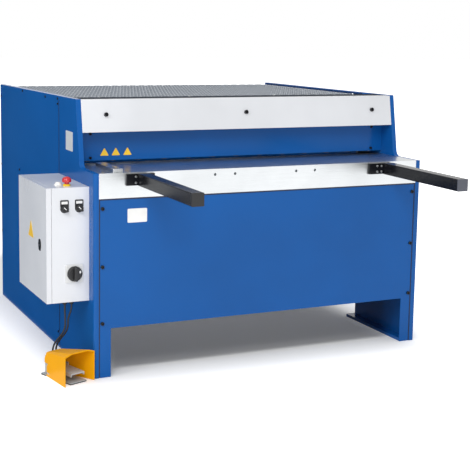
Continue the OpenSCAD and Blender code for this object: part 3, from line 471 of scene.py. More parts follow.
class SHEAR_OT_stage(bpy.types.Operator):
    """Set up the floor, the backdrop, the light and the camera"""
    bl_idname = "shear.stage"
    bl_label = "Stage"

    # place and turns of the camera in metres and radians, and its focal length in mm
    EYE, TURNS, FOCAL = (-1.8582, -3.8619, 1.2454), (0.446, 0.143, 0.019), 86.75
    # name, place, target, size, share of the key power
    LAMPS = (("key_lamp", (-2.9, -4.3, 4.3), (0.1, 0, 0.5), 2.6, 1),
             ("front_lamp", (-1.9, -4.5, 1.4), (0, 0, 0.6), 0.7, 0.2),
             ("side_lamp", (-2.9, -1.0, 2.0), (-0.6, 0, 0.5), 1.0, 0.12))
    # middle and half size of the footprint, inside which the floor's glow stays low: a painted
    # shadow under the machine
    DARK_MIDDLE, DARK_REACH = (-0.05, 0.85, 0), (0.6, 1.0, 0)
    DARK_LEVEL, FADE = 0.11, 0.42

    def execute(self, context):
        light = context.scene.shear_light
        self.make_camera(context)
        self.make_world(context, light.fill)
        self.make_floor(light.floor)
        for name, place, target, size, share in self.LAMPS:
            self.make_lamp(name, place, target, size, light.key * share)
        self.make_cards()
        return {"FINISHED"}

    def make_camera(self, context):
        """The camera of the photograph, whose turns were solved from its straight edges."""
        yaw, pitch, roll = self.TURNS
        ahead = Vector((math.sin(yaw) * math.cos(pitch), math.cos(yaw) * math.cos(pitch),
                        -math.sin(pitch)))
        right = Vector((math.cos(yaw), -math.sin(yaw), 0))
        up = right.cross(ahead)
        side = math.cos(roll) * right + math.sin(roll) * up
        top = math.cos(roll) * up - math.sin(roll) * right
        lens = bpy.data.cameras.new("camera")
        lens.sensor_width = 36
        lens.lens = self.FOCAL
        lens.shift_x, lens.shift_y = -0.0115, -0.108
        lens.clip_end = 60
        camera = into_scene("camera", lens)
        camera.matrix_world = Matrix((side, top, -ahead)).transposed().to_4x4()
        camera.location = self.EYE
        context.scene.camera = camera
        context.scene.view_settings.view_transform = "Standard"

    def make_world(self, context, fill):
        world = bpy.data.worlds.new("studio")
        context.scene.world = world
        world.use_nodes = True
        world.node_tree.nodes.clear()
        level = spread(world, seen_by(world, "Camera", "Glossy", "Transmission"), fill, 1.0)
        sky = add(world, "ShaderNodeBackground", {"Color": (1, 1, 1, 1), "Strength": level})
        add(world, "ShaderNodeOutputWorld", {"Surface": sky.outputs["Background"]})

    def make_floor(self, tint):
        """A sheet of paper that is white to the eye, with a painted shadow under the machine."""
        bm = bmesh.new()
        bmesh.ops.create_grid(bm, x_segments=1, y_segments=1, size=30,
                              matrix=Matrix.Translation((0, 0, -0.5 * MM)))
        floor = make_object("floor", bm)
        mat, past = new_material("Paper floor")
        for operation, *value in (("SUBTRACT", self.DARK_MIDDLE), ("ABSOLUTE",),
                                  ("SUBTRACT", self.DARK_REACH), ("MAXIMUM", (0, 0, 0))):
            past = add(mat, "ShaderNodeVectorMath", dict(enumerate((past, *value))),
                       operation=operation).outputs["Vector"]
        far = add(mat, "ShaderNodeVectorMath", {0: past}, operation="LENGTH").outputs["Value"]
        # painted shadow: the glow rises from a low level over the footprint to full strength beyond
        # it
        fade = add(mat, "ShaderNodeMapRange", {"Value": far, "From Max": self.FADE,
                                               "To Min": self.DARK_LEVEL},
                   interpolation_type="SMOOTHSTEP").outputs["Result"]
        lift = add(mat, "ShaderNodeMath", {0: seen_by(mat, "Camera", "Glossy"), 1: fade},
                   operation="MULTIPLY")
        paper = add(mat, "ShaderNodeBsdfDiffuse", {"Color": tint})
        glow = add(mat, "ShaderNodeEmission", {"Strength": lift.outputs["Value"]})
        both = add(mat, "ShaderNodeAddShader", {0: paper.outputs["BSDF"],
                                                1: glow.outputs["Emission"]})
        add(mat, "ShaderNodeOutputMaterial", {"Surface": both.outputs["Shader"]})
        floor.data.materials.append(mat)

    def make_cards(self):
        """Cards that only the gloss of the left side mirrors, and a dark one under the panel."""
        grey = coated("Grey card", linear("#0C4468"), 0.8, coat=0.0)
        self.make_card("flag", grey, ("glossy",), ((-4500, 2000, -200), (-720, 2020, 2200)),
                       ((-4500, -100, 1), (-668, 2000, 3)))
        self.make_card("skirt", grey, ("diffuse", "shadow"),
                       ((-570, -145, 35), (570, -140, 300)))

    def make_card(self, name, material, rays, *boxes):
        bm = bmesh.new()
        for low, high in boxes:
            bar(bm, mm(*low), mm(*high))
        card = make_object(name, bm)
        card.data.materials.append(material)
        for ray in ("camera", "diffuse", "glossy", "transmission", "shadow", "volume_scatter"):
            setattr(card, "visible_" + ray, ray in rays)

    def make_lamp(self, name, place, target, size, power):
        lamp = bpy.data.lights.new(name, "AREA")
        lamp.size = size
        lamp.energy = power
        holder = into_scene(name, lamp)
        holder.location = place
        holder.rotation_euler = (Vector(target) - Vector(place)).to_track_quat(
            "-Z", "Y").to_euler()


# The cables of the foot switch

CABLE_D = 6.5 * MM
LEFT_ROUTE = (
    (-738, -110.5, 251), (-738, -110.5, 238), (-737.5, -110.5, 221), (-736.6, -110.5, 201),
    (-736.4, -110.5, 181), (-737.26, -110.05, 169.9), (-740.07, -108.54, 158.8),
    (-744.55, -106.26, 148.7), (-750.22, -103.36, 139.3), (-756.45, -100.14, 130.4),
    (-762.51, -97.07, 121.7), (-768.09, -94.14, 112.3), (-772.57, -91.86, 102.2),
    (-775.37, -90.35, 91.1), (-776.27, -89.94, 80))
RIGHT_ROUTE = (
    (-714, -110.5, 251), (-714, -110.5, 239), (-717, -110.5, 225), (-722, -110.5, 211),
    (-725.5, -110.5, 197), (-726.5, -110.5, 181), (-727.27, -109.94, 169.9),
    (-729.83, -108.23, 159), (-734.01, -105.31, 148.7), (-739.21, -101.7, 139.3),
    (-744.73, -97.79, 130.6), (-750.47, -93.85, 121.7), (-755.66, -90.24, 112.3),
    (-759.85, -87.32, 102), (-762.32, -85.57, 91.1), (-763.16, -85.03, 80))


class SHEAR_OT_cables(bpy.types.Operator):
    """Make the two cables between the cabinet and the foot switch"""
    bl_idname = "shear.cables"
    bl_label = "Cables"

    def execute(self, context):
        for name, route in (("left_cable", LEFT_ROUTE), ("right_cable", RIGHT_ROUTE)):
            self.make_cable(name, [mm(*p) for p in route])
        return {"FINISHED"}

    def make_cable(self, node, route):
        curve = bpy.data.curves.new(node + "_sheath", "CURVE")
        curve.dimensions = "3D"
        curve.bevel_depth = CABLE_D / 2
        curve.bevel_resolution = 4
        curve.resolution_u = 4
        curve.use_fill_caps = True
        line = curve.splines.new("BEZIER")
        line.bezier_points.add(len(route) - 1)
        for point, place in zip(line.bezier_points, route):
            point.co = place
            point.handle_left_type = point.handle_right_type = "AUTO"
        curve.materials.append(finishes["cable_rubber"])
        cable = into_scene(node + "_sheath", curve)
        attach(cable, "frame")
        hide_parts(node)


# Finishes on the CAD solids

# nodes whose edges are rounded, with the share of the edge radius
ROUNDED = {
    "right_frame": 1, "table_beam": 0.5, "lower_blade": 0.3,
    "side_gauge": 0.6, "front_panel": 0.8, "front_cover": 0.9, "top_beam": 1,
    "finger_guard": 0.6, "upper_blade": 0.3, "ram": 0.8, "left_rear_guard": 0.9,
    "right_rear_guard": 0.9, "rear_panel": 0.6, "delivery_chute": 0.5,
    "left_arm": 0.6, "right_arm": 0.6, "left_bracket": 1, "right_bracket": 1,
    "left_arm_cap": 0.8, "right_arm_cap": 0.8, "cabinet": 0.6, "cabinet_door": 0.6,
    "lower_beam": 1, "rear_tie": 1, "mounting_plate": 0.4,
}
# nodes whose finish isn't that of their slot
# the top strip gets a painted reflection instead of the finish of its slot
OWN_FINISH = {"top_strip": "strip_painted_reflection", "right_arm_cap": "stopper"}


def finish_of(node):
    """The finish of a CAD node: its own one, or that of its slot."""
    return OWN_FINISH.get(node, slot_of(node))


class SHEAR_OT_finishes(bpy.types.Operator):
    """Give every solid of the frame its material, and round its folded edges"""
    bl_idname = "shear.finishes"
    bl_label = "Finishes"

    # radius of the left frame's front edge
    FOLD = 10 * MM

    def execute(self, context):
        edge = context.scene.shear_sizes.edge
        for name, node in frame["nodes"].items():
            node.data.materials.clear()
            node.data.materials.append(finishes[finish_of(name)])
        for name, share in ROUNDED.items():
            make_piece(name + "_body", folded_node(name, edge * share), finish_of(name),
                       body=body_of(name), node=name)
        self.left_frame(edge)
        return {"FINISHED"}

    def left_frame(self, edge):
        """The left frame, whose front edge is folded round a larger radius."""
        bm = folded_node("left_frame", 0)
        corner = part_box("left_frame")[0]
        fold = [e for e in bm.edges
                if all((v.co - corner).xy.length < 0.1 * MM for v in e.verts)]
        bevel(bm, fold, self.FOLD, 6)
        soften(bm, edge, angle=40)
        make_piece("left_frame_body", bm, slot_of("left_frame"), node="left_frame")


# The perforated top


class SHEAR_OT_perforated_top(bpy.types.Operator):
    """Punch the sheet over the blades with staggered rows of slots"""
    bl_idname = "shear.perforated_top"
    bl_label = "Perforated top"

    FOLD = 18 * MM
    SHEET = 2 * MM
    RIM = 3 * MM

    def execute(self, context):
        sizes = context.scene.shear_sizes
        low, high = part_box("perforated_top")
        fall = (high.z - low.z - self.FOLD) / (high.y - low.y)
        bm = self.punched_field(sizes, low, high)
        self.add_margins(bm, low, high)
        for v in bm.verts:
            v.co.z += high.z - fall * (v.co.y - low.y)
        bmesh.ops.recalc_face_normals(bm, faces=bm.faces)
        bmesh.ops.solidify(bm, geom=bm.faces, thickness=-self.SHEET)
        bmesh.ops.recalc_face_normals(bm, faces=bm.faces)
        self.finish_walls(bm, low, high)
        make_piece("perforated_sheet", bm, ("galvanised", "slot_edge"),
                   node="perforated_top", smooth=30)
        return {"FINISHED"}

    def finish_walls(self, bm, low, high):
        """Gives the walls of the slots their own finish."""
        for f in bm.faces:
            at = f.calc_center_median()
            inside = (low.x + self.RIM < at.x < high.x - self.RIM
                      and low.y + self.RIM < at.y < high.y - self.RIM)
            if inside and abs(f.normal.z) < 0.5:
                f.material_index = 1

    def cell(self, bm, place, sizes):
        """One plain tile with a slot in it."""
        half = Vector((sizes.slot_pitch / 2, sizes.row_pitch / 2, 0))
        corners = [bm.verts.new(place + Vector((x * half.x, y * half.y, 0)))
                   for x, y in ((-1, -1), (0, -1), (1, -1), (1, 1), (0, 1), (-1, 1))]
        edges = [bm.edges.new((a, b)) for a, b in zip(corners, corners[1:] + corners[:1])]
        turn = Matrix.Rotation(math.radians(15), 4, "Z")
        ring = bmesh.ops.create_circle(bm, segments=12, radius=sizes.slot_w / 2,
                                       matrix=Matrix.Translation(place) @ turn)["verts"]
        reach = (sizes.slot_l - sizes.slot_w) / 2
        for v in ring:
            v.co.x += math.copysign(reach, v.co.x - place.x)
        edges += list({e for v in ring for e in v.link_edges})
        bmesh.ops.triangle_fill(bm, use_beauty=True, use_dissolve=False, edges=edges)
        for v in ring:
            if v.co.y > place.y:
                v.co.z += sizes.slot_lift
        return corners + ring

    def repeat(self, bm, step, count):
        """Repeats all that the mesh holds along a step."""
        original = list(bm.verts) + list(bm.edges) + list(bm.faces)
        for k in range(1, count):
            made = bmesh.ops.duplicate(bm, geom=original)["geom"]
            bmesh.ops.translate(bm, vec=step * k,
                                verts=vertices(made))

    def punched_field(self, sizes, low, high):
        """Pairs of staggered rows, as many as the sheet has room for."""
        px, py = sizes.slot_pitch, sizes.row_pitch
        columns = int((high.x - low.x - px) / px)
        pairs = int((high.y - low.y - py) / (2 * py))
        bm = bmesh.new()
        self.cell(bm, Vector((px / 2, py / 2, 0)), sizes)
        self.cell(bm, Vector((px, py * 1.5, 0)), sizes)
        self.repeat(bm, X * px, columns)
        for x, row in ((0, 1), (columns * px, 0)):
            points = [(x, row), (x + px / 2, row), (x + px / 2, row + 1), (x, row + 1)]
            bm.faces.new([bm.verts.new((a, b * py, 0)) for a, b in points])
        self.repeat(bm, Y * 2 * py, pairs)
        bmesh.ops.remove_doubles(bm, verts=bm.verts, dist=0.2 * MM)
        shift = Vector((-(columns + 0.5) * px / 2,
                        (low.y + high.y) / 2 - pairs * py, 0))
        bmesh.ops.translate(bm, vec=shift, verts=bm.verts)
        return bm

    def add_margins(self, bm, low, high):
        """Grows the field to the sheet's edges, and folds the front and rear ones down."""
        xs = [v.co.x for v in bm.verts]
        ys = [v.co.y for v in bm.verts]
        ends = (min(xs), max(xs), min(ys), max(ys))

        def outer(v):
            return (min(abs(v.co.x - ends[0]), abs(v.co.x - ends[1])) < NEAR
                    or min(abs(v.co.y - ends[2]), abs(v.co.y - ends[3])) < NEAR)
        rim = [e for e in bm.edges if e.is_boundary and all(outer(v) for v in e.verts)]
        grown = bmesh.ops.extrude_edge_only(bm, edges=rim)["geom"]
        for v in vertices(grown):
            if abs(v.co.x - ends[0]) < NEAR or abs(v.co.x - ends[1]) < NEAR:
                v.co.x = low.x if v.co.x < 0 else high.x
            if abs(v.co.y - ends[2]) < NEAR:
                v.co.y = low.y
            elif abs(v.co.y - ends[3]) < NEAR:
                v.co.y = high.y
        lips = [e for e in bm.edges if e.is_boundary and all(
            min(abs(v.co.y - low.y), abs(v.co.y - high.y)) < NEAR for v in e.verts)]
        sunk = bmesh.ops.extrude_edge_only(bm, edges=lips)["geom"]
        bmesh.ops.translate(bm, vec=-Z * self.FOLD,
                            verts=vertices(sunk))


# Screws and plates on the covers


def cover_y(z):
    """Where the leaning front cover's face is, at a height in millimetres."""
    return -44.5 + 42 * (z - 722) / 240


COVER_OUT = Vector((0, -240, 42)).normalized()


class SHEAR_OT_screws(bpy.types.Operator):
    """Put in the screws of the covers, the panels and the brackets"""
    bl_idname = "shear.screws"
    bl_label = "Screws"

    def execute(self, context):
        sizes = context.scene.shear_sizes
        bm = bmesh.new()
        for x in (-555, 0, 555):
            socket_screw(bm, mm(x, cover_y(906), 906), COVER_OUT, sizes.cover_screw)
        for x in (-594, 594):
            for z in (745, 832):
                socket_screw(bm, mm(x, 47.5, z), -Y, sizes.panel_screw * 0.8)
        for x in (-632, 632):
            for z in (195, 396, 600):
                socket_screw(bm, mm(x, -205.5, z), -Y, sizes.panel_screw, 6 * MM)
        make_piece("cover_screws", bm, "oxide")
        bm = bmesh.new()
        for x in (-516, -456, 461, 480):
            for z in (687, 708):
                socket_screw(bm, mm(x, -217.5, z), -Y, 7.5 * MM, 5 * MM)
        make_piece("bracket_screws", bm, "zinc")
        bm = bmesh.new()
        side = ((727, 945), (388, 945), (222, 949), (222, 929), (222, 640), (222, 330),
                (222, 60), (787, 612), (1095, 900), (1095, 600), (1095, 300))
        for s in (-1, 1):
            for y, z in side:
                if s < 0 or z > 100:
                    socket_screw(bm, mm(s * 663, y, z), X * s, 9 * MM, 3 * MM)
        for x in (-560, -280, 0, 280, 560):
            for z in (590, 910):
                socket_screw(bm, mm(x, 1106.5, z), Y, 9 * MM, 3 * MM)
        make_piece("side_screws", bm, "oxide")
        bm = bmesh.new()
        for x in (-540, -180, 180, 540):
            hexagon_head(bm, mm(x, 112, 958.9), Z, 8 * MM, 2.6 * MM)
        make_piece("strip_screws", bm, "zinc")
        return {"FINISHED"}


def patch(bm, centre, axis, width, height, corner, thick=0.4 * MM, sides=4):
    """Adds a thin film with rounded corners: a rectangle, or a triangle of three sides."""
    if sides == 4:
        made = bar(bm, Vector((-width / 2, -height / 2, 0)), Vector((width / 2, height / 2, thick)))
    else:
        made = bmesh.ops.create_cone(
            bm, cap_ends=True, segments=3, radius1=width / math.sqrt(3),
            radius2=width / math.sqrt(3), depth=thick,
            matrix=Matrix.Translation((0, 0, thick / 2)))["verts"]
    upright = [e for e in {e for v in made for e in v.link_edges}
               if abs(e.verts[0].co.z - e.verts[1].co.z) > thick / 2]
    known = set(bm.verts) - set(made)
    bevel(bm, upright, corner, 4, clamp=False)
    new = [v for v in bm.verts if v not in known]
    bmesh.ops.transform(bm, matrix=Matrix.Translation(centre) @ facing(axis), verts=new)
    return new


class SHEAR_OT_plates(bpy.types.Operator):
    """Stick on the plain films, and rivet the bare plate to the left side"""
    bl_idname = "shear.plates"
    bl_label = "Plates and films"

    def execute(self, context):
        side = context.scene.shear_sizes.sign_side
        bm = bmesh.new()
        for x in (-540, -496.5, -451.5):
            self.triangle(bm, mm(x, 47.5, 761), -Y, side)
        make_piece("guard_triangles", bm, "sign_film")
        bm = bmesh.new()
        self.triangle(bm, mm(-815, 45, 491), -X, 70 * MM)
        make_piece("door_triangle", bm, "sign_film", body="door")
        bm = bmesh.new()
        patch(bm, mm(-505, -205.5, 570.5), -Y, 72 * MM, 49 * MM, 4 * MM)
        make_piece("panel_film", bm, "white_film")
        bm = bmesh.new()
        made = patch(bm, mm(-663, 76.5, 806), -X, 82 * MM, 70 * MM, 3 * MM, thick=1 * MM)
        low = [min(v.co[k] for v in made) for k in range(3)]
        high = [max(v.co[k] for v in made) for k in range(3)]
        for y in (low[1] + 5 * MM, high[1] - 5 * MM):
            for z in (low[2] + 5 * MM, high[2] - 5 * MM):
                lathe(bm, [(2.4, 0), (2.2, 0.9), (1.3, 1.5), (0, 1.7)],
                     Vector((low[0], y, z)), -X, 12)
        make_piece("bare_plate", bm, "name_plate")
        return {"FINISHED"}

    def triangle(self, bm, centre, axis, side):
        """A triangle that stands on one of its sides."""
        known = set(bm.verts)
        patch(bm, Vector(), Z, side, side, side * 0.09, sides=3)
        new = [v for v in bm.verts if v not in known]
        point = max(new, key=lambda v: v.co.length).co.copy()
        upright = Matrix.Rotation(math.pi / 2 - math.atan2(point.y, point.x), 4, "Z")
        turn = Matrix.Rotation(math.pi / 2, 4, "X")
        if abs(axis.x) > 0.5:
            turn = Matrix.Rotation(-math.pi / 2, 4, "Z") @ turn
        bmesh.ops.transform(bm, matrix=Matrix.Translation(centre) @ turn @ upright, verts=new)


class SHEAR_OT_seams(bpy.types.Operator):
    """Draw painted shadow in the gaps between the frames, the front panel and the rear guards"""
    bl_idname = "shear.seams"
    bl_label = "Seams"

    def execute(self, context):
        bm = bmesh.new()
        for s in (-1, 1):
            inner, outer = sorted((s * 641, s * 645))
            bar(bm, mm(inner, -206.6, 2), mm(outer, -205, 634))
            bar(bm, mm(s * 663 - 0.4, 204.5, 2), mm(s * 663 + 0.4, 210.5, 944))
        bar(bm, mm(-641, -206.6, 629), mm(641, -205, 634))
        make_piece("panel_gap_shadows", bm, "seam")
        return {"FINISHED"}


# Controls on the cabinet

SWITCH = mm(-717, -154.5, 370)
SELECTORS = (-751, -699)
SELECTOR_Z = 598.5
STOP = mm(-729, -108.5, 671)
LAMP = mm(-751, -78.5, 671)
LOCK = mm(-815, -71.5, 462)


def turned(bm, made, angle, centre):
    """Turns vertices about a line along Y through a centre."""
    bmesh.ops.rotate(bm, cent=centre, matrix=Matrix.Rotation(angle, 3, "Y"), verts=made)


def plane_block(bm, centre, width, height, y0, y1, corner):
    """Adds a block with rounded upright corners that faces the operator."""
    made = bar(bm, Vector((centre.x - width / 2, y1, centre.z - height / 2)),
               Vector((centre.x + width / 2, y0, centre.z + height / 2)))
    known = set(bm.verts) - set(made)
    edges = [e for e in {e for v in made for e in v.link_edges}
             if abs(e.verts[0].co.y - e.verts[1].co.y) > abs(y1 - y0) / 2]
    bevel(bm, edges, corner, 5, clamp=False)
    return [v for v in bm.verts if v not in known]


class SHEAR_OT_controls(bpy.types.Operator):
    """Make the main switch, the selectors, the emergency stop, the lamp and the lock"""
    bl_idname = "shear.controls"
    bl_label = "Controls"

    def execute(self, context):
        self.main_switch()
        for name, x in zip(("left_selector", "right_selector"), SELECTORS):
            self.selector(name, x * MM)
        self.legend_plates()
        self.emergency_stop()
        self.pilot_lamp()
        self.door_lock()
        self.glands()
        return {"FINISHED"}

    def main_switch(self):
        face = SWITCH.y
        bm = bmesh.new()
        plane_block(bm, SWITCH, 65 * MM, 65 * MM, face, face - 4 * MM, 5 * MM)
        soften(bm, 0.8 * MM, angle=40)
        lathe(bm, [(29.5, 3.5), (29.5, 4.2), (28.8, 4.2)], SWITCH, -Y, 48)
        for x in (-26, 26):
            for z in (-26, 26):
                lathe(bm, [(3, 3.5), (3, 4.6), (2.2, 5.1), (0, 5.2)],
                     SWITCH + mm(x, 0, z), -Y, 16)
        make_piece("switch_plate", bm, "light_plastic", node="main_switch_plate")
        seat = face - 4.3 * MM
        bm = bmesh.new()
        profile = [(0, 10), (22.5, 10), (25.2, 8.8), (26.4, 6.4), (26.5, 1.2), (25.6, 0), (0, 0)]
        lathe(bm, profile, Vector((SWITCH.x, seat, SWITCH.z)),
              -Y, 60)
        grip = bmesh.new()
        plane_block(grip, SWITCH, 16 * MM, 47 * MM, seat - 8 * MM, seat - 26 * MM, 7 * MM)
        for v in grip.verts:
            if v.co.y < seat - 20 * MM:
                v.co.x = SWITCH.x + (v.co.x - SWITCH.x) * 0.8
        soften(grip, 1.6 * MM, 3, angle=40)
        self.merge(bm, grip)
        rod(bm, Vector((SWITCH.x, seat + 4 * MM, SWITCH.z)), -Y, 8 * MM, 5 * MM, 24)
        make_piece("switch_handle", bm, "black_plastic", body="main_switch",
                   node="main_switch_handle")
        bm = bmesh.new()
        plane_block(bm, SWITCH + mm(17.5, 0, 6), 6 * MM, 9 * MM, seat - 9.6 * MM,
                    seat - 10.4 * MM, 2 * MM)
        make_piece("switch_mark", bm, "white_film", body="main_switch")

    def merge(self, bm, other):
        """Adds another mesh to this one."""
        mesh = bpy.data.meshes.new("part")
        other.to_mesh(mesh)
        other.free()
        bm.from_mesh(mesh)
        bpy.data.meshes.remove(mesh)

    def selector(self, body, x):
        seat = SWITCH.y - 2.3 * MM
        centre = Vector((x, seat, SELECTOR_Z * MM))
        bm = bmesh.new()
        profile = [(0, 10), (11.4, 10), (12.6, 9.2), (13, 8), (13, 1), (12.4, 0), (0, 0)]
        lathe(bm, profile, centre, -Y, 48)
        grip = bmesh.new()
        made = plane_block(grip, centre, 9 * MM, 24 * MM, seat - 8 * MM, seat - 20 * MM,
                           4.2 * MM)
        turned(grip, made, -math.pi / 4, centre)
        soften(grip, 1 * MM, 2, angle=40)
        self.merge(bm, grip)
        rod(bm, centre + Y * 2 * MM, -Y, 8 * MM, 3 * MM, 20)
        make_piece(body + "_grip", bm, "black_plastic", body=body, node=body + "_knob")
        bm = bmesh.new()
        made = plane_block(bm, centre + mm(0, 0, 5), 2.4 * MM, 12 * MM, seat - 19.7 * MM,
                           seat - 20.2 * MM, 1 * MM)
        turned(bm, made, -math.pi / 4, centre)
        make_piece(body + "_mark", bm, "white_film", body=body)

    def legend_plates(self):
        bm = bmesh.new()
        field = bmesh.new()
        for x in SELECTORS:
            centre = mm(x, 0, SELECTOR_Z)
            top = centre + mm(0, 0, 7.5 + 22.5 - 13.5)
            plane_block(bm, top, 30 * MM, 27 * MM, SWITCH.y, SWITCH.y - 2 * MM, 4 * MM)
            lathe(bm, [(15, 0), (15, 1.4), (14.4, 2.05), (0, 2.05)],
                 Vector((centre.x, SWITCH.y, centre.z)), -Y, 48)
            plane_block(field, top + mm(0, 0, 4), 22 * MM, 9 * MM, SWITCH.y - 1.9 * MM,
                        SWITCH.y - 2.4 * MM, 1.5 * MM)
        make_piece("legend_plates", bm, "black_plastic", node="selector_plates")
        make_piece("legend_fields", field, "white_film")

    def emergency_stop(self):
        bm = bmesh.new()
        lathe(bm, [(8.1, 1), (8.1, 6), (12.4, 6), (13, 5.4), (13, 0), (8.1, 0), (8.1, 1)],
             STOP, Z, 48)
        make_piece("stop_ring", bm, "yellow_plastic", node="stop_collar")
        bm = bmesh.new()
        profile = [(0, 32.3), (5, 32), (10, 30.2), (13.6, 27), (15.4, 23.2), (16, 19.5),
                   (16, 14.8), (15.4, 13), (13.4, 12.3), (8, 12.3), (8, 5.3), (0, 5.3)]
        lathe(bm, profile, STOP, Z, 56)
        make_piece("stop_head", bm, "red_plastic", body="stop_button", node="stop_button",
                   smooth=50)

    def pilot_lamp(self):
        bm = bmesh.new()
        profile = [(0, 11), (4, 10.8), (7.5, 9.7), (10, 7.9), (11, 6.5), (11, 4), (12.8, 4),
                   (14, 3.2), (14, 0), (0, 0)]
        lathe(bm, profile, LAMP, Z, 48)
        make_piece("lamp_lens", bm, "lamp_plastic", node="pilot_lamp")

    def door_lock(self):
        bm = bmesh.new()
        profile = [(0, 2.2), (5.2, 2.2), (5.4, 2.9), (9.6, 3), (10.8, 2.2), (11, 0.1), (8.8, 0.1),
                   (8.8, -22), (0, -22)]
        lathe(bm, profile, LOCK, -X, 40)
        bar(bm, LOCK + mm(22, -8, -77), LOCK + mm(25, 8, 8))
        make_piece("lock_body", bm, "black_plastic", body="lock", node="door_lock")
        bm = bmesh.new()
        bar(bm, LOCK + mm(-3, -4.4, -0.9), LOCK + mm(-2, 4.4, 0.9))
        soften(bm, 0.2 * MM, 1)
        make_piece("lock_key_bar", bm, "zinc", body="lock")
        bm = bmesh.new()
        ring = [(11.4, 0), (11.4, 2.4), (12.4, 2.7), (19, 2), (21, 0.8), (21, 0), (11.4, 0)]
        made = lathe(bm, ring, LOCK, -X, 48)
        for v in made:
            v.co.y = LOCK.y + (v.co.y - LOCK.y) * (0.74 if abs(v.co.y - LOCK.y) > 12 * MM
                                                   else 0.97)
        make_piece("lock_rosette", bm, "black_plastic", body="door")

    def glands(self):
        bm = bmesh.new()
        for x in (-738, -714):
            top = mm(x, -110.5, 269)
            rod(bm, top, -Z, 20 * MM, 7 * MM, 6)
            profile = [(3.3, 18), (5.2, 18), (7, 16.6), (7.9, 14), (8, 7), (9.4, 7), (9.4, 5)]
            lathe(bm, profile, top, -Z, 32)
        make_piece("gland_bodies", bm, "black_plastic", node="cable_glands")


# The foot switch

SWITCH_PLACE = (Matrix.Translation(mm(-752, -162, 0))
                @ Matrix.Rotation(math.radians(20.5), 4, "Z"))
TREADLE_PLACE = (SWITCH_PLACE @ Matrix.Translation(mm(0, 33, 38))
                 @ Matrix.Rotation(math.radians(2), 4, "X"))


class SHEAR_OT_foot_switch(bpy.types.Operator):
    """Detail the foot switch: its hood, base, rubber edge and ribbed treadle"""
    bl_idname = "shear.foot_switch"
    bl_label = "Foot switch"

    def execute(self, context):
        self.hood()
        self.base()
        self.treadle()
        return {"FINISHED"}

    def hood(self):
        make_piece("foot_switch_hood", folded_node("pedal_hood", 0.9 * MM), "hood_paint",
                   node="pedal_hood")
        # screws that hold the hood's flared walls to the base
        bm = bmesh.new()
        slant = Vector((164, 35.5, 0)).normalized()
        for y in (48, 60):
            for side in (-1, 1):
                x = 64 - 0.2165 * (y + 82)
                out = Vector((side * slant.x, slant.y, 0))
                lathe(bm, [(0, 1.8), (2.2, 1.6), (3.8, 0.6), (4, -0.2)],
                     mm(side * x, y, 12), out, 20)
        self.put("hood_screws", bm, "zinc")

    def put(self, name, bm, finish, place=SWITCH_PLACE, **kind):
        """Moves what is drawn about the switch's own origin to its place on the floor."""
        bmesh.ops.transform(bm, matrix=place, verts=bm.verts)
        make_piece(name, bm, finish, **kind)

    def base(self):
        make_piece("foot_switch_base", folded_node("pedal_base", 0.7 * MM), "pedal_metal",
                   node="pedal_base")
        bm = bmesh.new()
        # rubber edge under the plate
        for side in (-1, 1):
            low, high = sorted((side * 33.4, side * 34.6))
            bar(bm, mm(low, -74.6, 0), mm(high, 38, 3.4))
            bar(bm, mm(low, 67, 0), mm(high, 94.6, 3.4))
        bar(bm, mm(-34.6, -74.6, 0), mm(34.6, -73.4, 3.4))
        bar(bm, mm(-34.6, 93.4, 0), mm(34.6, 94.6, 3.4))
        self.put("rubber_edge", bm, "black_plastic")
        bm = bmesh.new()
        # lid screws of the housing, and the nuts of its cable glands
        for x, y in ((-17, 80), (-17, 58), (17, 58)):
            socket_screw(bm, mm(x, y, 67.9), Z, 5 * MM, 2 * MM)
        for side in (-1, 1):
            for y in (48, 78):
                socket_screw(bm, mm(side * 22.9, y, 58), X * side, 4.5 * MM, 1.4 * MM)
        self.put("housing_screws", bm, "zinc")
        bm = bmesh.new()
        for x in (2.5, 16.5):
            nut = rod(bm, mm(x, 76, 67.8), Z, 13.6 * MM, 4 * MM, 6)
            lathe(bm, [(3.3, 12.6), (4.6, 12.4), (6.4, 9.5), (6.6, 5), (6.6, 0)],
                 mm(x, 76, 68), Z, 28)
            bmesh.ops.rotate(bm, verts=nut, cent=mm(x, 76, 68),
                             matrix=Matrix.Rotation(math.radians(30), 3, "Z"))
        self.put("foot_switch_glands", bm, "black_plastic")

    def treadle(self):
        make_piece("treadle_plate", folded_node("pedal_treadle", 0.8 * MM), "pedal_metal",
                   body="treadle", node="pedal_treadle")
        bm = bmesh.new()
        # ribs against slipping
        for k in range(10):
            y = -99 + 9 * k
            bar(bm, mm(-25.5, y, 1.8), mm(25.5, y + 3.4, 3.1))
        soften(bm, 0.5 * MM, 2)
        self.put("treadle_ribs", bm, "pedal_metal", TREADLE_PLACE, body="treadle")


# Inside the cabinet


def wire(bm, start, leaving, end, arriving, d):
    """Adds a wire between two points, which leaves and arrives along the given handles."""
    path = interpolate_bezier(start, start + leaving, end + arriving, end, 12)
    last = None
    for k, point in enumerate(path):
        way = path[min(k + 1, 11)] - path[max(k - 1, 0)]
        ring = bmesh.ops.create_circle(
            bm, segments=8, radius=d / 2, matrix=Matrix.Translation(point) @ facing(way))
        edges = list({e for v in ring["verts"] for e in v.link_edges})
        if last:
            bmesh.ops.bridge_loops(bm, edges=last + edges)
        last = edges


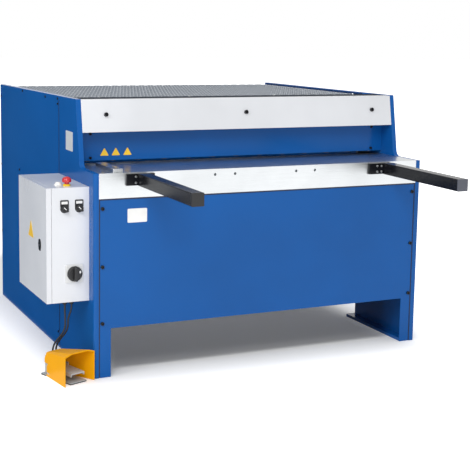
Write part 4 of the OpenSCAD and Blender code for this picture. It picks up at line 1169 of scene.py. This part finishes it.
class SHEAR_OT_wiring(bpy.types.Operator):
    """Fit out the cabinet: contactors, terminals, ducts, rails and wires"""
    bl_idname = "shear.wiring"
    bl_label = "Wiring"

    # in millimetres: middles of the contactors, edges of the duct, the row of terminals
    CONTACTOR_Y = (-23, 28, 79)
    DUCT_Z = (430, 456)
    FIRST_TERMINAL, PITCH, TERMINALS = -80, 8, 27

    def execute(self, context):
        self.contactors()
        self.terminals()
        self.ducts()
        self.wires()
        return {"FINISHED"}

    def contactors(self):
        bm, nose, screws = bmesh.new(), bmesh.new(), bmesh.new()
        for y in self.CONTACTOR_Y:
            bar(bm, mm(-712, y - 22.5, 490), mm(-678, y + 22.5, 565))
            bar(bm, mm(-739, y - 22, 503), mm(-711.5, y + 22, 552))
            bar(nose, mm(-748, y - 11, 513), mm(-738.5, y + 11, 542))
            for side in (-14, 0, 14):
                for z in (496.5, 558.5):
                    rod(screws, mm(-711.5, y + side, z), -X, 7 * MM, 2.4 * MM, 16)
                    bar(nose, mm(-714.1, y + side - 2.8, z - 0.5),
                        mm(-713.8, y + side + 2.8, z + 0.5))
        soften(bm, 1.2 * MM)
        soften(nose, 0.15 * MM, 1)
        make_piece("contactor_bodies", bm, "light_plastic", node="contactors")
        make_piece("contactor_armatures", nose, "black_plastic")
        make_piece("contactor_screws", screws, "zinc")

    def terminals(self):
        blocks, earth, screws = bmesh.new(), bmesh.new(), bmesh.new()
        for k in range(self.TERMINALS):
            y = self.FIRST_TERMINAL + self.PITCH * k
            bm = earth if k in (0, self.TERMINALS - 1) else blocks
            bar(bm, mm(-702, y, 349), mm(-678, y + 7.4, 395))
            bar(bm, mm(-718, y, 358), mm(-701.5, y + 7.4, 386))
            for z in (353.5, 390.5):
                rod(screws, mm(-701.5, y + 3.7, z), -X, 4.6 * MM, 1.2 * MM, 12)
        soften(blocks, 0.5 * MM, 1)
        soften(earth, 0.5 * MM, 1)
        make_piece("terminal_blocks", blocks, "grey_plastic", node="terminal_strip")
        make_piece("earth_terminals", earth, "yellow_plastic")
        make_piece("terminal_screws", screws, "zinc")

    def ducts(self):
        bm = bmesh.new()
        low, high = self.DUCT_Z
        bar(bm, mm(-703, -112, low), mm(-678, 168, high))
        bar(bm, mm(-720, -112, low - 1), mm(-716, 168, high + 1))
        for k in range(35):
            y = -112 + 8.1 * k
            for z in (low, high - 1.4):
                bar(bm, mm(-716.5, y, z), mm(-702, y + 4.6, z + 1.4))
        make_piece("wiring_duct", bm, "grey_plastic")
        bm = bmesh.new()
        for z in (519, 363):
            bar(bm, mm(-684, -108, z), mm(-678, 164, z + 18))
        soften(bm, 1 * MM, 1)
        make_piece("mounting_rails", bm, "zinc")

    def wires(self):
        bm = bmesh.new()
        low, high = self.DUCT_Z
        for y in self.CONTACTOR_Y:
            for side in (-14, 0, 14):
                wire(bm, mm(-713.5, y + side, 494), mm(-9, 0, -6),
                     mm(-710, y + side * 0.8, high - 2), mm(0, 0, 14), 2.6 * MM)
                wire(bm, mm(-713.5, y + side, 561), mm(-10, 0, 10),
                     mm(-692, y + side + 3, 566), mm(-2, 0, 12), 2.6 * MM)
        for k in range(1, self.TERMINALS - 1):
            y = self.FIRST_TERMINAL + 3.7 + self.PITCH * k
            wire(bm, mm(-702, y, 390.5), mm(-9, 0, 3), mm(-710, y + 2, low + 1),
                 mm(0, 0, -16), 2.2 * MM)
        make_piece("control_wires", bm, "black_plastic")
        bm = bmesh.new()
        for x, y, target in ((-738, -110.5, -66), (-714, -110.5, -42)):
            wire(bm, mm(x, y, 271), mm(0, 0, 55), mm(-702, target, 353.5),
                 mm(-16, 0, -34), 6.5 * MM)
        make_piece("cable_tails", bm, "cable_rubber")


# The add-on


class SHEAR_PT_panel(bpy.types.Panel):
    """Steps that dress the shear"""
    bl_idname = "SHEAR_PT_panel"
    bl_label = "Guillotine shear"
    bl_space_type = "VIEW_3D"
    bl_region_type = "UI"
    bl_category = "Shear"

    def draw(self, context):
        for group in (context.scene.shear_colours, context.scene.shear_sizes,
                      context.scene.shear_light):
            box = self.layout.box()
            for name in group.bl_rna.properties.keys():
                if name not in ("rna_type", "name"):
                    box.prop(group, name)
        for step in STEPS:
            self.layout.operator(step.bl_idname)


STEPS = (SHEAR_OT_stage, SHEAR_OT_cables, SHEAR_OT_finishes, SHEAR_OT_perforated_top,
         SHEAR_OT_seams, SHEAR_OT_screws, SHEAR_OT_plates, SHEAR_OT_controls,
         SHEAR_OT_foot_switch, SHEAR_OT_wiring)
GROUPS = {"shear_colours": ShearColours, "shear_sizes": ShearSizes,
          "shear_light": ShearLight}


def register():
    for item in (*GROUPS.values(), *STEPS, SHEAR_PT_panel):
        bpy.utils.register_class(item)
    for name, group in GROUPS.items():
        setattr(bpy.types.Scene, name, PointerProperty(type=group))


def unregister():
    for name in GROUPS:
        delattr(bpy.types.Scene, name)
    for item in reversed((*GROUPS.values(), *STEPS, SHEAR_PT_panel)):
        bpy.utils.unregister_class(item)


def main():
    register()
    make_finishes(bpy.context.scene.shear_colours)
    for step in STEPS:
        group, name = step.bl_idname.split(".")
        getattr(getattr(bpy.ops, group), name)()


if __name__ == "__main__":
    main()
